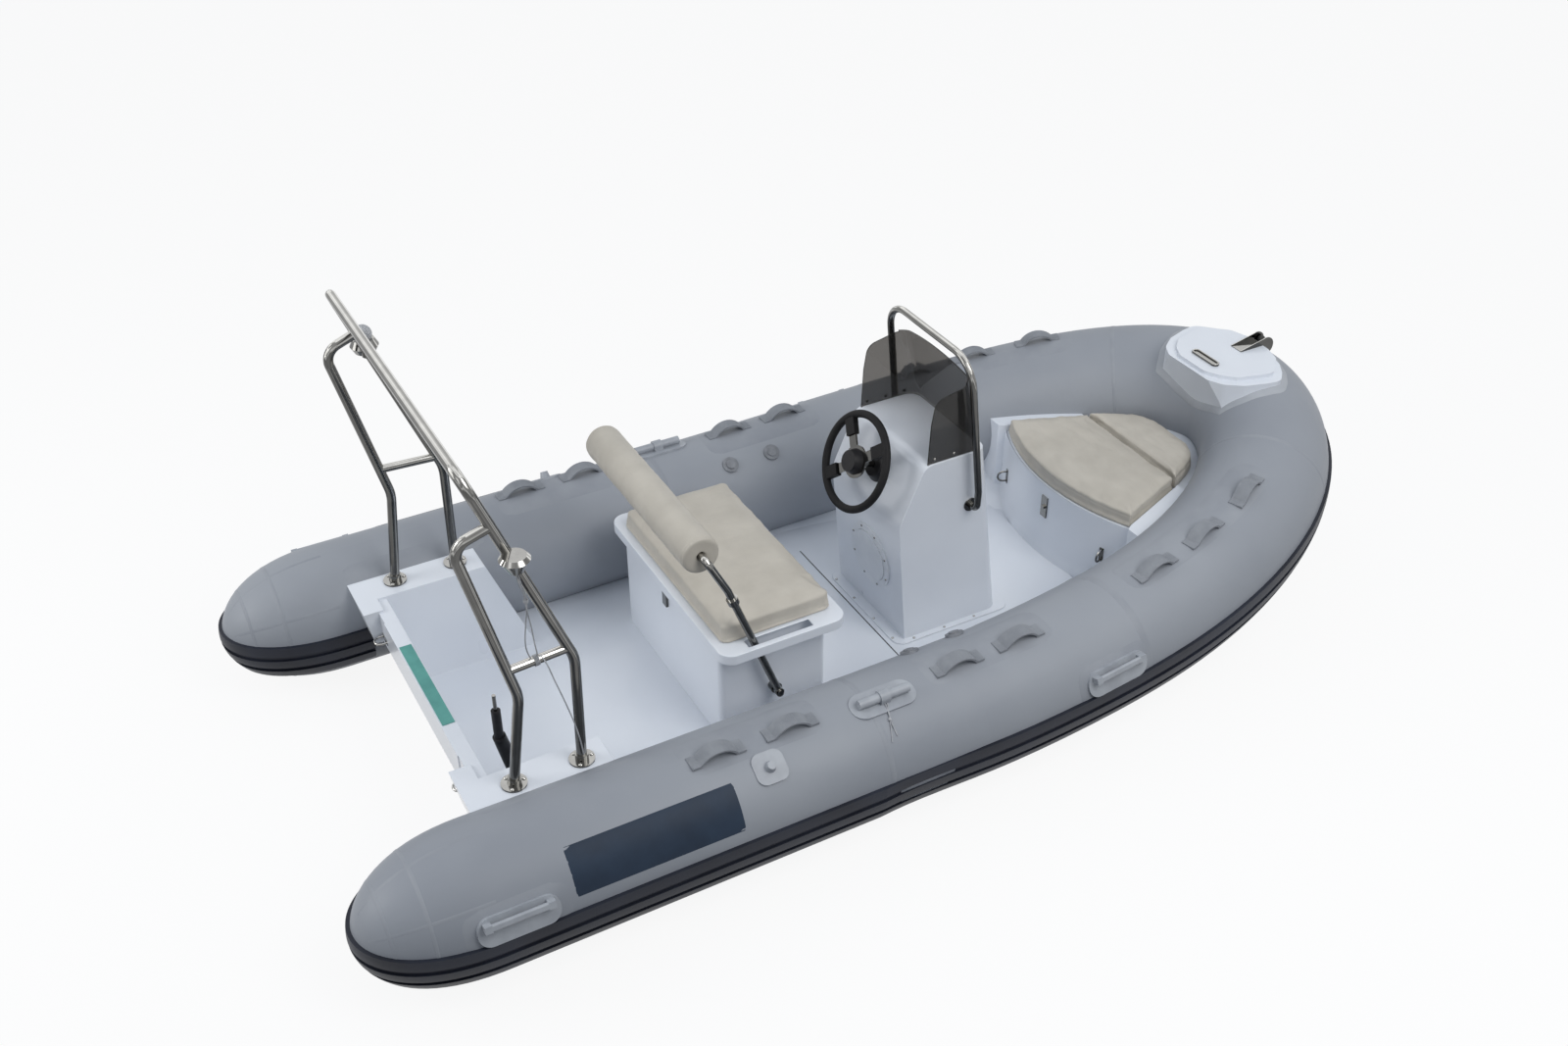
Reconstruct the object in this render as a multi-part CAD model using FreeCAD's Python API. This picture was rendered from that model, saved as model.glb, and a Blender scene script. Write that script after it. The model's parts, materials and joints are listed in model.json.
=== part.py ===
"""A rigid inflatable boat with a helm console, a pilot seat, a bow locker and a stainless arch.

Millimetres. X points forward, Y to port and Z up. The origin lies amidships on the waterline, which
touches the underside of the side tubes. Places along the boat are stations, counted forward from
the aft face of the transom. Pieces are written for the port side or the centreline and mirrored.
"""
import FreeCAD
import Part
import math
import os

from FreeCAD import Vector

# General
amidships = 1560
overrun = 20
seat_gap = 0.3

# Inflated tubes
tube_radius = 225
tube_bow_radius = 241
tube_half_spacing = 761
bow_curve_start = 1136
bow_curve_length = 2230
bow_rise = 233
bow_plan_power_share = 3.6
bow_side_power_share = 1.83
bow_rise_power_share = 2.55
baffle_share = 0.028
tangent_step_share = 0.02
bow_section_shares = (0.1, 0.2, 0.33, 0.46, 0.6, 0.74, 0.88)
stern_cone_start = -75
stern_cone_length = 392
stern_cone_power_share = 2.3
stern_cone_point_shares = (0, 0.15, 0.3, 0.45, 0.6, 0.72, 0.83, 0.91, 0.97, 0.995, 1)

# Rubbing strake round the tubes
strake_base_thickness = 5
strake_rib_thickness = 12
strake_cut_depth = 8
strake_edge_shares = (-0.5, -0.345, -0.26, -0.105, -0.02, 0.14)
strake_inboard_end = -8

# Grab straps, carry handles, oar locks, oar knobs and valves on the tubes
strap_length = 178
strap_width = 52
strap_thickness = 5
strap_rise = 30
strap_foot = 26
strap_angle_deg = 88
strap_stations = (657, 907)
strap_bow_places = (1517, 1759, 2359, 2607, 2865)
handle_length = 245
handle_width = 90
handle_base_thickness = 8
handle_grip_height = 34
handle_grip_thickness = 14
handle_grip_width = 22
handle_angle_deg = 19
handle_corner_share = 0.45
handle_edge_share = 0.4
handle_pillar_inset = 29
handle_bar_inset = 18
handle_stations = (-48, 2030)
lock_station = 1223
lock_angle_deg = 76
lock_length = 180
lock_radius = 15
lock_patch_length = 230
lock_patch_width = 96
lock_clasp_length = 34
lock_patch_corner_share = 0.48
lock_clasp_radius = 21
knob_station = 790
knob_angle_deg = 57
knob_patch_length = 104
knob_patch_width = 100
knob_radius = 19
knob_height = 24
knob_tip_share = 0.7
knob_patch_corner_share = 0.3
valve_angle_deg = 125
valve_stations = (1443, 1622)
valve_radius = 31
valve_height = 7
valve_cap_radius = 18
valve_cap_height = 12
patch_thickness = 3

# Rigid hull
keel_depth = 135
hull_stations = (0, 1150, 1800, 2300, 2700, 3000, 3240)
hull_keel_shares = (-1, -1, -0.98, -0.8, -0.16, 0.75, 1.85)
hull_chine_shares = (0.79, 0.79, 0.785, 0.77, 0.72, 0.62, 0.3)
hull_chine_drop = 24
hull_flare = 90
hull_flare_out = 30
hull_skin = 24
sole_height = 68
sole_thickness = 8

# Stern platforms and transom
transom_height = 388
transom_thickness = 50
transom_face_depth = 113
transom_rake_share = 0.31
platform_height = 397
platform_inner = 493
platform_foot_inner = 400
platform_aft_overhang = 50
platform_aft_inner = 424
platform_overhang_depth = 130
platform_front = 404
platform_foot_front = 530
transom_pad_half_length = 214
transom_pad_width = 40
transom_pad_thickness = 3
towing_eye_across = 395
towing_eye_height = 297
towing_eye_radius = 4
towing_eye_width = 50
towing_eye_reach = 42
towing_eye_plate = 3
eye_seat_margin = 3
eye_bend_share = 0.95
eye_plate_share = 2.2

# Bow locker, its lid and the two pads
locker_height = 366
locker_aft = 2448
locker_corner = 2545
locker_half_width = 390
locker_kick_height = 120
locker_foot_aft = 2436
locker_front = 3190
locker_opening_inset = 40
lid_thickness = 12
lid_gap = 5
pad_thickness = 64
pad_aft_inset = 6
pad_corner = 2545
pad_corner_half_width = 385
pad_fold = 2850
pad_fold_half_width = 268
pad_gap = 4
pad_shoulder = 2950
pad_shoulder_half_width = 222
pad_cheek = 3005
pad_cheek_half_width = 186
pad_nose_side = 3040
pad_nose_side_half_width = 142
pad_nose = 3058
pad_nose_half_width = 98
pad_round = 12
pad_welt_radius = 3
wing_aft = 2520
wing_front = 2862
wing_height = 390
wing_aft_inner = 400
wing_gap = 6
locker_floor_gap = 25

# Fittings on the locker
locker_eye_across = 301
locker_eye_height = 214
hasp_height = 90
hasp_width = 34
hasp_thickness = 5
hasp_knob_radius = 9
hasp_knob_height = 10
hasp_across = -15
hasp_top_drop = 44

# Bow step, roller and folding cleat
step_aft = 3085
step_aft_half_width = 112
step_corner = 3116
step_corner_half_width = 168
step_side = 3178
step_side_half_width = 213
step_wide = 3263
step_wide_half_width = 239
step_lobe = 3325
step_lobe_half_width = 250
step_bow = 3372
step_bow_half_width = 203
step_nose_side = 3408
step_nose_side_half_width = 150
step_nose = 3432
step_nose_half_width = 75
step_bottom = 515
step_undercut = 66
step_round = 52
step_plateau_aft_inset = 16
step_plateau_side_inset = 42
step_plateau_round = 46
step_top = 700
step_plateau_height = 15
roller_channel_aft = 3320
roller_channel_width = 56
roller_channel_wall = 3
roller_channel_aft_height = 5
roller_cheek_station = 3446
roller_cheek_height = 706
roller_cheek_radius = 40
roller_pin_station = 3462
roller_pin_height = 716
roller_gap = 3
roller_radius = 15
roller_pin_radius = 5
roller_side_gap = 5.5
cleat_station = 3168
cleat_length = 138
cleat_width = 34
cleat_thickness = 4
cleat_ring_radius = 3.5
cleat_ring_sink = 1

# Stem eye under the bow
stem_eye_width = 60
stem_eye_reach = 60
stem_eye_radius = 5
stem_eye_share = 0.5

# Console
console_half_width = 226
console_wall = 6
console_aft_foot = 1695
console_dash_low = 1648
console_dash_low_height = 578
console_dash_top = 1744
console_height = 798
console_front_top = 1995
console_front_foot = 2102
console_front_round = 45
console_crease_round = 120
console_top_round = 45
console_flange_width = 42
console_flange_thickness = 6
hatch_radius = 126
hatch_across = -20
hatch_height = 330
hatch_ring_width = 26
hatch_ring_thickness = 7
hatch_lid_thickness = 10
hatch_gap = 1

# Windshield
shield_thickness = 5
shield_half_width = 219
shield_aft_foot = 1756
shield_aft_bulge = 1762
shield_aft_bulge_height = 947
shield_aft_top = 1776
shield_aft_top_height = 1038
shield_front_foot = 1985
shield_front_top = 1918
shield_height = 1096
shield_corner_height = 1064
shield_front_round = 50
shield_aft_round = 45

# Console rail
rail_radius = 12.5
rail_foot_station = 1939
rail_foot_height = 584
rail_across = 266
rail_up_station = 1941
rail_top_station = 1882
rail_height = 1173
rail_bend = 105
rail_rise_height = 656
rail_lean = 12
rail_low_bend = 24
rail_flange_radius = 26
rail_flange_thickness = 4

# Steering wheel
wheel_radius = 180
wheel_rim_radius = 14
wheel_stand_off = 101.5
wheel_dash_share = 0.531
wheel_hub_radius = 46
wheel_hub_thickness = 30
wheel_spoke_width = 36
wheel_spoke_thickness = 7
wheel_grip_width = 44
wheel_grip_thickness = 22
wheel_grip_share = 0.42
wheel_turn_deg = 44
wheel_disc_radius = 58
wheel_hub_front_radius = 37
wheel_arm_sink = 7
wheel_shaft_radius = 12
helm_bezel_radius = 62
helm_bezel_thickness = 26
helm_bezel_front_radius = 43
helm_shaft_gap = 1
key_switch_across = 92
key_switch_drop = 62
key_switch_radius = 12
key_switch_length = 18

# Pilot seat
seat_aft = 882
seat_front = 1280
seat_half_width = 372
seat_corner_radius = 23
seat_wall = 6
seat_lid_aft = 862
seat_lid_front = 1322
seat_lid_half_width = 448
seat_lid_top = 476
seat_lid_rim = 38
seat_lid_thickness = 6
seat_lid_corner_radius = 52
seat_slot_across = 410
seat_slot_width = 36
seat_slot_aft = 962
seat_slot_front = 1198
seat_cushion_aft = 886
seat_cushion_front = 1298
seat_cushion_half_width = 386
seat_cushion_thickness = 70
seat_cushion_corner_radius = 28
seat_latch_height = 70
seat_latch_width = 30
seat_latch_thickness = 9
seat_latch_across = 25
seat_cushion_round = 16

# Backrest
backrest_pivot_station = 1078
backrest_pivot_height = 232
backrest_tube_radius = 12.5
backrest_roll_radius = 68
backrest_roll_half_length = 380
backrest_roll_station = 830
backrest_roll_height = 848
backrest_knee_station = 900
backrest_knee_height = 712
backrest_bend = 60
backrest_end_bend = 26
backrest_clip_radius = 19
backrest_clip_length = 22
backrest_clip_share = 0.93
pivot_boss_radius = 20
backrest_boss_radius = 15
backrest_tail = 20
backrest_arm_sink = 20
roll_end_round = 14
pivot_bolt_radius = 6
pivot_bolt_head_radius = 11
pivot_bolt_head_height = 5
pivot_bolt_gap = 0.5

# Arch
arch_radius = 16
arch_foot_across = 565
arch_front_foot = 321
arch_front_knee = 328
arch_front_knee_across = 567
arch_front_knee_height = 794
arch_top_station = 58
arch_top_across = 606
arch_top_height = 1509
arch_top_bend = 62
arch_knee_bend = 150
arch_aft_foot = 105
arch_aft_knee = 145
arch_aft_knee_across = 583
arch_aft_knee_height = 734
arch_aft_top = 12
arch_aft_top_across = 590
arch_aft_top_height = 1302
arch_aft_join_share = 0.765
arch_aft_bend = 55
brace_radius = 14
brace_height = 838
flange_radius = 40
flange_thickness = 6
flange_neck_radius = 21
flange_neck_height = 26
flange_screw_radius = 4
flange_screw_share = 0.78
flange_screws = 3

# Lamps on the arch
lamp_port_height = 1268
lamp_starboard_height = 1216
lamp_stand_off = 34
lamp_cup_radius = 46
lamp_cup_height = 46
lamp_cup_foot_radius = 34
lamp_globe_radius = 30
lamp_globe_rise = 16
lamp_cap_radius = 44
lamp_cap_height = 12
lamp_tail_radius = 20
lamp_tail_height = 42
lamp_rim_thickness = 4
lamp_clamp_radius = 20
lamp_clamp_height = 26

# Rigging boot in the stern well
boot_station = 214
boot_neck_station = 139
boot_across = -348
boot_base_radius = 46
boot_base_thickness = 8
boot_sleeve_radius = 21
boot_sleeve_foot_radius = 27
boot_neck_radius = 15
boot_sleeve_top = 396
boot_neck_top = 500
boot_tip_radius = 6
boot_tip_top = 560

tube_axis_height = tube_radius


def at(station, across, up):
    """Point at a station along the boat, across to port and up from the waterline."""
    return Vector(station - amidships, across, up)


def mirrored(shape):
    """The same shape on the starboard side."""
    return shape.mirror(Vector(), Vector(0, 1, 0))


def flat(points):
    """Plane face inside a closed line of straight runs."""
    return Part.Face(Part.makePolygon(list(points) + [points[0]]))


def side_block(outline, low_across, high_across):
    """Block whose outline is seen from the side, given as (station, height) pairs."""
    face = flat([at(station, low_across, height) for station, height in outline])
    return face.extrude(Vector(0, high_across - low_across, 0))


def plan_block(outline, bottom, top):
    """Block whose outline is seen from above, given as (station, across) pairs."""
    face = flat([at(station, across, bottom) for station, across in outline])
    return face.extrude(Vector(0, 0, top - bottom))


def box(aft, front, low_across, high_across, bottom, top):
    """Upright block between two stations, two places across and two heights."""
    return Part.makeBox(front - aft, high_across - low_across, top - bottom, at(aft, low_across, bottom))


def both_hands(half_outline):
    """Closed plan outline from its port half, listed from aft to front."""
    return list(half_outline) + [(station, -across) for station, across in reversed(half_outline)]


def upright_edges(shape, least_height):
    """Straight vertical edges at least that tall."""
    found = []
    for edge in shape.Edges:
        ends = [vertex.Point for vertex in edge.Vertexes]
        if len(ends) == 2:
            run = ends[1] - ends[0]
            if abs(run.z) >= least_height and math.hypot(run.x, run.y) < seat_gap:
                found.append(edge)
    return found


def edges_at_height(shape, height):
    """Edges that lie flat at one height."""
    return [edge for edge in shape.Edges
            if abs(edge.BoundBox.ZMin - height) < seat_gap and abs(edge.BoundBox.ZMax - height) < seat_gap]


def rounded_box(aft, front, half_width, bottom, top, corner_radius):
    """Centred upright block with rounded corners in plan."""
    block = box(aft, front, -half_width, half_width, bottom, top)
    return block.makeFillet(corner_radius, upright_edges(block, (top - bottom) / 2))


def rounded_prism(outline, radii, direction):
    """Straight prism on a plane outline, its corners rounded by the radii."""
    middle = (outline[0] + outline[-1]) / 2
    path = rounded_path([middle] + list(outline) + [middle], radii)
    return Part.Face(path).extrude(direction)


def rounded_path(points, radii):
    """Wire of straight runs joined by tangent arcs at the inner points; a radius of 0 keeps the corner."""
    edges = []
    start = points[0]
    for before, corner, after, radius in zip(points, points[1:], points[2:], radii):
        if radius == 0:
            edges.append(Part.makeLine(start, corner))
            start = corner
            continue
        back = (before - corner).normalize()
        ahead = (after - corner).normalize()
        half_turn = (math.pi - back.getAngle(ahead)) / 2
        reach = radius * math.tan(half_turn)
        towards_centre = (back + ahead).normalize()
        middle = corner + towards_centre * (radius / math.cos(half_turn) - radius)
        arc = Part.Arc(corner + back * reach, middle, corner + ahead * reach)
        edges.append(Part.makeLine(start, corner + back * reach))
        edges.append(arc.toShape())
        start = corner + ahead * reach
    edges.append(Part.makeLine(start, points[-1]))
    return Part.Wire(edges)


def round_bar(points, radii, bar_radius):
    """Bar of round section along straight runs and bends."""
    path = rounded_path(points, radii)
    direction = (points[1] - points[0]).normalize()
    section = Part.Wire(Part.makeCircle(bar_radius, points[0], direction))
    return path.makePipeShell([section], True, False)


def rod(start, end, radius):
    """Straight round rod between two points."""
    run = end - start
    return Part.makeCylinder(radius, run.Length, start, run)


def fused(shapes):
    """One clean solid from several that touch or overlap."""
    first, *others = shapes
    return first.fuse(others).removeSplitter()


def tube_centre(turn_share):
    """Point on the port tube's centreline, from the end of its straight part (0) to the stem (1)."""
    turn = turn_share * math.pi / 2
    along = math.sin(turn) ** (2 / bow_plan_power_share)
    across = tube_half_spacing * max(math.cos(turn), 0) ** (2 / bow_side_power_share)
    height = tube_axis_height + bow_rise * along ** bow_rise_power_share
    return at(bow_curve_start + bow_curve_length * along, across, height)


def tube_size(turn_share):
    """Radius of the tube at a place on the bow curve."""
    along = math.sin(turn_share * math.pi / 2) ** (2 / bow_plan_power_share)
    return tube_radius + (tube_bow_radius - tube_radius) * along ** 2


def tube_frame(turn_share):
    """Outboard, upward and forward directions across the tube's section."""
    if turn_share <= 0:
        return Vector(0, 1, 0), Vector(0, 0, 1), Vector(1, 0, 0)
    if turn_share >= 1:
        return Vector(1, 0, 0), Vector(0, 0, 1), Vector(0, -1, 0)
    step = min(turn_share, 1 - turn_share) * tangent_step_share
    forward = (tube_centre(turn_share + step) - tube_centre(turn_share - step)).normalize()
    outboard = Vector(-forward.y, forward.x, 0).normalize()
    return outboard, forward.cross(outboard).normalize(), forward


def turn_share_at(station):
    """Place on the bow curve whose centreline is at a station."""
    along = (station - bow_curve_start) / bow_curve_length
    return 0 if along <= 0 else math.asin(along ** (bow_plan_power_share / 2)) / (math.pi / 2)


def tube_section(turn_share, outline):
    """A section outline, made with outboard and upward lengths, stood square to the tube."""
    outboard, upward, forward = tube_frame(turn_share)
    turn = FreeCAD.Rotation(outboard, upward, Vector(0, 0, 0), "XYZ")
    section = outline.copy()
    section.Placement = FreeCAD.Placement(tube_centre(turn_share), turn)
    return section


def bow_loft(turn_shares, make_outline):
    """Solid through sections along the port bow curve."""
    sections = [tube_section(share, make_outline(tube_size(share))) for share in turn_shares]
    return Part.makeLoft(sections, True, False)


def circle_outline(radius):
    """Round section of the tube."""
    return Part.Wire(Part.makeCircle(radius))


def stern_body(extra):
    """Straight port tube with its rounded stern cone, grown all over by an extra thickness."""
    radius = tube_radius + extra
    length = stern_cone_length + extra
    rim = []
    for share in stern_cone_point_shares:
        swell = (1 - share ** stern_cone_power_share) ** (1 / 2)
        rim.append(at(stern_cone_start - share * length, tube_half_spacing, tube_axis_height + radius * swell))
    curve = Part.BSplineCurve()
    curve.interpolate(rim)
    axis_aft = rim[-1]
    axis_front = at(bow_curve_start, tube_half_spacing, tube_axis_height)
    top_front = axis_front + Vector(0, 0, radius)
    outline = Part.Wire([curve.toShape(), Part.makeLine(axis_aft, axis_front),
                         Part.makeLine(axis_front, top_front), Part.makeLine(top_front, rim[0])])
    return Part.Face(outline).revolve(axis_front, Vector(1, 0, 0), 360)


def side_tube():
    """Port air chamber, from the stern cone to the baffle just ahead of the console."""
    ahead = bow_loft((0, baffle_share / 2, baffle_share), circle_outline)
    return fused([stern_body(0), ahead])


def bow_tube():
    """Bow air chamber, baffle to baffle round the stem."""
    port_shares = (baffle_share,) + bow_section_shares
    sections = [tube_section(share, circle_outline(tube_size(share))) for share in port_shares]
    stem = tube_section(1, circle_outline(tube_size(1)))
    starboard_sections = [mirrored(section) for section in reversed(sections)]
    return Part.makeLoft(sections + [stem] + starboard_sections, True, False)


def strake_outline(radius):
    """Section of the ribbed strake on a tube of that radius, begun inside the tube that is cut from it."""
    def rim_point(extra, share):
        height = share * radius
        return Vector(math.sqrt((radius + extra) ** 2 - height ** 2), height, 0)

    def rim_arc(extra, low, high):
        return Part.Arc(rim_point(extra, low), rim_point(extra, (low + high) / 2), rim_point(extra, high)).toShape()

    edges = []
    last = rim_point(-strake_cut_depth, strake_edge_shares[0])
    for index, (low, high) in enumerate(zip(strake_edge_shares, strake_edge_shares[1:])):
        extra = strake_rib_thickness if index % 2 == 0 else strake_base_thickness
        edges.append(Part.makeLine(last, rim_point(extra, low)))
        edges.append(rim_arc(extra, low, high))
        last = rim_point(extra, high)
    edges.append(Part.makeLine(last, rim_point(-strake_cut_depth, strake_edge_shares[-1])))
    edges.append(rim_arc(-strake_cut_depth, strake_edge_shares[-1], strake_edge_shares[0]))
    return Part.Wire(edges)


def strake_layer(extra, low_share, high_share):
    """Part of the strake on the straight tube and round its stern cone, between two heights."""
    bottom = tube_axis_height + low_share * tube_radius
    top = tube_axis_height + high_share * tube_radius
    far = tube_half_spacing + tube_radius + extra + overrun
    aft = stern_cone_start - stern_cone_length - extra - overrun
    outboard = box(aft, bow_curve_start, tube_half_spacing, far, bottom, top)
    inboard = box(aft, strake_inboard_end, 0, tube_half_spacing, bottom, top)
    return stern_body(extra).common(outboard.fuse(inboard))


def strake():
    """Port half of the ribbed strake, from inboard of the stern cone round to the stem."""
    layers = [strake_layer(strake_base_thickness, strake_edge_shares[0], strake_edge_shares[-1])]
    for low, high in list(zip(strake_edge_shares, strake_edge_shares[1:]))[::2]:
        layers.append(strake_layer(strake_rib_thickness, low, high))
    straight = fused(layers).cut(stern_body(0))
    curved = bow_loft((0, baffle_share) + bow_section_shares + (1,), strake_outline)
    return fused([straight, curved])


def place_on_tube(shape, station, angle_deg):
    """Put a shape on the port tube: its X runs forward, its Z stands off the tube's skin."""
    turn_share = turn_share_at(station)
    outboard, upward, forward = tube_frame(turn_share)
    centre = tube_centre(turn_share) if turn_share > 0 else at(station, tube_half_spacing, tube_axis_height)
    angle = math.radians(angle_deg)
    normal = outboard * math.cos(angle) + upward * math.sin(angle)
    placed = shape.copy()
    turn = FreeCAD.Rotation(forward, Vector(0, 0, 0), normal, "ZXY")
    placed.Placement = FreeCAD.Placement(centre + normal * tube_size(turn_share), turn)
    return placed


def local_box(length, width, bottom, top, centre_x=0):
    """Block in a fitting's own frame, centred across."""
    return Part.makeBox(length, width, top - bottom, Vector(centre_x - length / 2, -width / 2, bottom))


def rounded_plate(length, width, bottom, top, corner_radius):
    """Plate with rounded corners in a fitting's own frame."""
    plate = local_box(length, width, bottom, top)
    return plate.makeFillet(corner_radius, upright_edges(plate, (top - bottom) / 2))


def sink(width):
    """How far a flat foot of that width goes down to meet the round tube all over."""
    return tube_radius - math.sqrt(tube_radius ** 2 - (width / 2) ** 2) + seat_gap


def grab_strap():
    """Arched strap with its two flat feet, in its own frame."""
    half = strap_length / 2
    inner_half = half - strap_foot
    low = -sink(strap_width)
    outer = Part.Arc(Vector(-inner_half, 0, strap_thickness), Vector(0, 0, strap_rise + strap_thickness),
                     Vector(inner_half, 0, strap_thickness)).toShape()
    span = inner_half - strap_thickness
    inner = Part.Arc(Vector(span, 0, low), Vector(0, 0, strap_rise), Vector(-span, 0, low)).toShape()
    right = [Vector(inner_half, 0, strap_thickness), Vector(half, 0, strap_thickness),
             Vector(half, 0, low), Vector(span, 0, low)]
    left = [Vector(-span, 0, low), Vector(-half, 0, low),
            Vector(-half, 0, strap_thickness), Vector(-inner_half, 0, strap_thickness)]
    lines = [Part.makeLine(a, b) for side in (right, left) for a, b in zip(side, side[1:])]
    outline = Part.Wire([outer] + lines[:3] + [inner] + lines[3:])
    band = Part.Face(outline).extrude(Vector(0, strap_width, 0))
    return band.translated(Vector(0, -strap_width / 2, 0))


def carry_handle():
    """Moulded handle: a rounded base with a raised grip beside a finger hole, in its own frame."""
    base = rounded_plate(handle_length, handle_width, -sink(handle_width), handle_base_thickness,
                         handle_width * handle_corner_share)
    pillar = handle_grip_width
    grip_y = -handle_width / 2 + handle_grip_width
    pillars = []
    for end in (-1, 1):
        block = local_box(pillar, pillar, handle_base_thickness / 2, handle_grip_height,
                          end * (handle_length / 2 - handle_pillar_inset))
        pillars.append(block.translated(Vector(0, grip_y, 0)))
    bar_length = handle_length - 2 * handle_bar_inset
    bar = local_box(bar_length, handle_grip_width, handle_grip_height - handle_grip_thickness,
                    handle_grip_height).translated(Vector(0, grip_y, 0))
    bar = bar.makeFillet(handle_grip_thickness * handle_edge_share, bar.Edges)
    return fused([base, bar] + pillars)


def oar_lock():
    """Oar lock: a round bar along the tube held by a clasp on a soft patch, in its own frame."""
    patch = rounded_plate(lock_patch_length, lock_patch_width, -sink(lock_patch_width), patch_thickness,
                          lock_patch_width * lock_patch_corner_share)
    centre = Vector(-lock_length / 2, 0, patch_thickness + lock_radius)
    bar = Part.makeCylinder(lock_radius, lock_length, centre, Vector(1, 0, 0))
    clasp = Part.makeCylinder(lock_clasp_radius, lock_clasp_length,
                              Vector(-lock_clasp_length / 2, 0, patch_thickness + lock_radius), Vector(1, 0, 0))
    foot = local_box(lock_clasp_length, 2 * lock_clasp_radius, patch_thickness / 2, patch_thickness + lock_radius)
    rail = local_box(lock_length, lock_radius, patch_thickness / 2, patch_thickness + lock_radius)
    return fused([patch, bar, clasp, foot, rail])


def oar_knob():
    """Round knob on a square patch that keeps a stowed oar, in its own frame."""
    patch = rounded_plate(knob_patch_length, knob_patch_width, -sink(knob_patch_width), patch_thickness,
                          knob_patch_width * knob_patch_corner_share)
    knob = Part.makeCone(knob_radius, knob_radius * knob_tip_share, knob_height, Vector(0, 0, patch_thickness / 2))
    return fused([patch, knob])


def valve():
    """Inflation valve with its cap, in its own frame."""
    body = Part.makeCylinder(valve_radius, valve_height + sink(2 * valve_radius),
                             Vector(0, 0, -sink(2 * valve_radius)))
    cap = Part.makeCylinder(valve_cap_radius, valve_cap_height, Vector(0, 0, 0))
    return fused([body, cap])


def tube_fittings(make_shape, stations, angle_deg, tubes):
    """Copies of one fitting along the port tube, each trimmed to the tube's skin."""
    fittings = [place_on_tube(make_shape(), station, angle_deg).cut(tubes) for station in stations]
    return Part.makeCompound([solid for fitting in fittings for solid in fitting.Solids])


def chine_height(tube_height, inboard):
    """Height of the chine where it lies that far inboard of the tube's centreline."""
    reach = min(inboard, tube_radius)
    return tube_height - math.sqrt(tube_radius ** 2 - reach ** 2) - hull_chine_drop


def hull_lines():
    """Station, keel height, chine place across, chine height and tube height at each hull section."""
    lines = []
    for station, keel_share, chine_share in zip(hull_stations, hull_keel_shares, hull_chine_shares):
        centre = tube_centre(turn_share_at(station))
        tube_across = centre.y if station > bow_curve_start else tube_half_spacing
        across = chine_share * tube_across
        chine = chine_height(centre.z, tube_across - across)
        lines.append((station, keel_share * keel_depth, across, chine, centre.z))
    return lines


def closed_section(station, half):
    """Closed line across the boat from its port half, listed as (across, height) from the keel up."""
    points = [at(station, across, height) for across, height in half]
    points += [at(station, -across, height) for across, height in reversed(half) if across > 0]
    return Part.makePolygon(points + [points[0]])


def hull_block():
    """Keeled V-bottom between the tubes, before the tubes are cut out of it."""
    sections = []
    for station, keel, across, chine, _ in hull_lines():
        top = max(sole_height - sole_thickness, chine + hull_flare)
        sections.append(closed_section(station, [(0, keel), (across, chine), (across + hull_flare_out, top)]))
    return Part.makeLoft(sections, True, False)


def inner_space():
    """Space inside the hull's bottom skin, up to the tubes' centrelines and the locker's shoulders."""
    sections = []
    for station, keel, across, chine, tube_height in hull_lines():
        top = max(tube_height, wing_height)
        half = [(0, keel + hull_skin), (across, chine + hull_skin), (across, top)]
        sections.append(closed_section(station, half))
    return Part.makeLoft(sections, True, False)


def room_above(bottom):
    """The inner space above one height."""
    front = hull_stations[-1] + overrun
    return inner_space().common(box(-overrun, front, -tube_half_spacing, tube_half_spacing, bottom, step_top))


def deck(tubes):
    """Inner moulding: sole, stern platforms and the transom bar between them."""
    half_beam = tube_half_spacing
    sole = box(0, locker_foot_aft + overrun, -half_beam, half_beam, sole_height - sole_thickness, sole_height)
    sole = sole.common(room_above(0))
    inner_wall = [(platform_foot_inner, sole_height), (platform_inner, platform_height),
                  (half_beam, platform_height), (half_beam, sole_height)]
    face = flat([at(0, across, height) for across, height in inner_wall])
    platform = face.extrude(Vector(platform_foot_front, 0, 0))
    front_wedge = side_block([(platform_front, platform_height + overrun), (platform_front, platform_height),
                              (platform_foot_front, sole_height), (platform_foot_front + overrun, sole_height),
                              (platform_foot_front + overrun, platform_height + overrun)], 0, half_beam + overrun)
    ledge_low = platform_height - platform_overhang_depth
    ledge = side_block([(-platform_aft_overhang, platform_height), (overrun, platform_height),
                        (overrun, ledge_low), (-platform_aft_overhang / 2, ledge_low)],
                       platform_aft_inner, half_beam)
    platform = platform.cut(front_wedge)
    low = sole_height - sole_thickness
    face_low = transom_height - transom_face_depth
    lean = (face_low - low) * transom_rake_share
    bar = side_block([(0, transom_height), (transom_thickness, transom_height), (transom_thickness, face_low),
                      (transom_thickness + lean, low), (0, low)], -platform_inner, platform_inner)
    moulding = fused([sole, platform, mirrored(platform), bar]).cut(rake_wedge())
    moulding = fused([moulding, ledge, mirrored(ledge)])
    seat = towing_eye_seat()
    return moulding.cut(tubes).cut([seat, mirrored(seat)])


def towing_eye_seat():
    """Shallow step in the aft face of the transom that a towing eye's plate lies in."""
    half = towing_eye_width / 2 - towing_eye_radius + eye_plate_share * towing_eye_radius
    inner = towing_eye_across - half - eye_seat_margin
    low = transom_height - transom_face_depth
    return box(-overrun, towing_eye_plate, inner, platform_aft_inner, low, transom_height + overrun)


def rake_wedge():
    """What lies aft of the raked lower half of the transom, down past the keel."""
    top = transom_height - transom_face_depth
    bottom = -keel_depth - overrun
    return side_block([(-overrun, top), (0, top), ((top - bottom) * transom_rake_share, bottom), (-overrun, bottom)],
                      -tube_half_spacing, tube_half_spacing)


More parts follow.
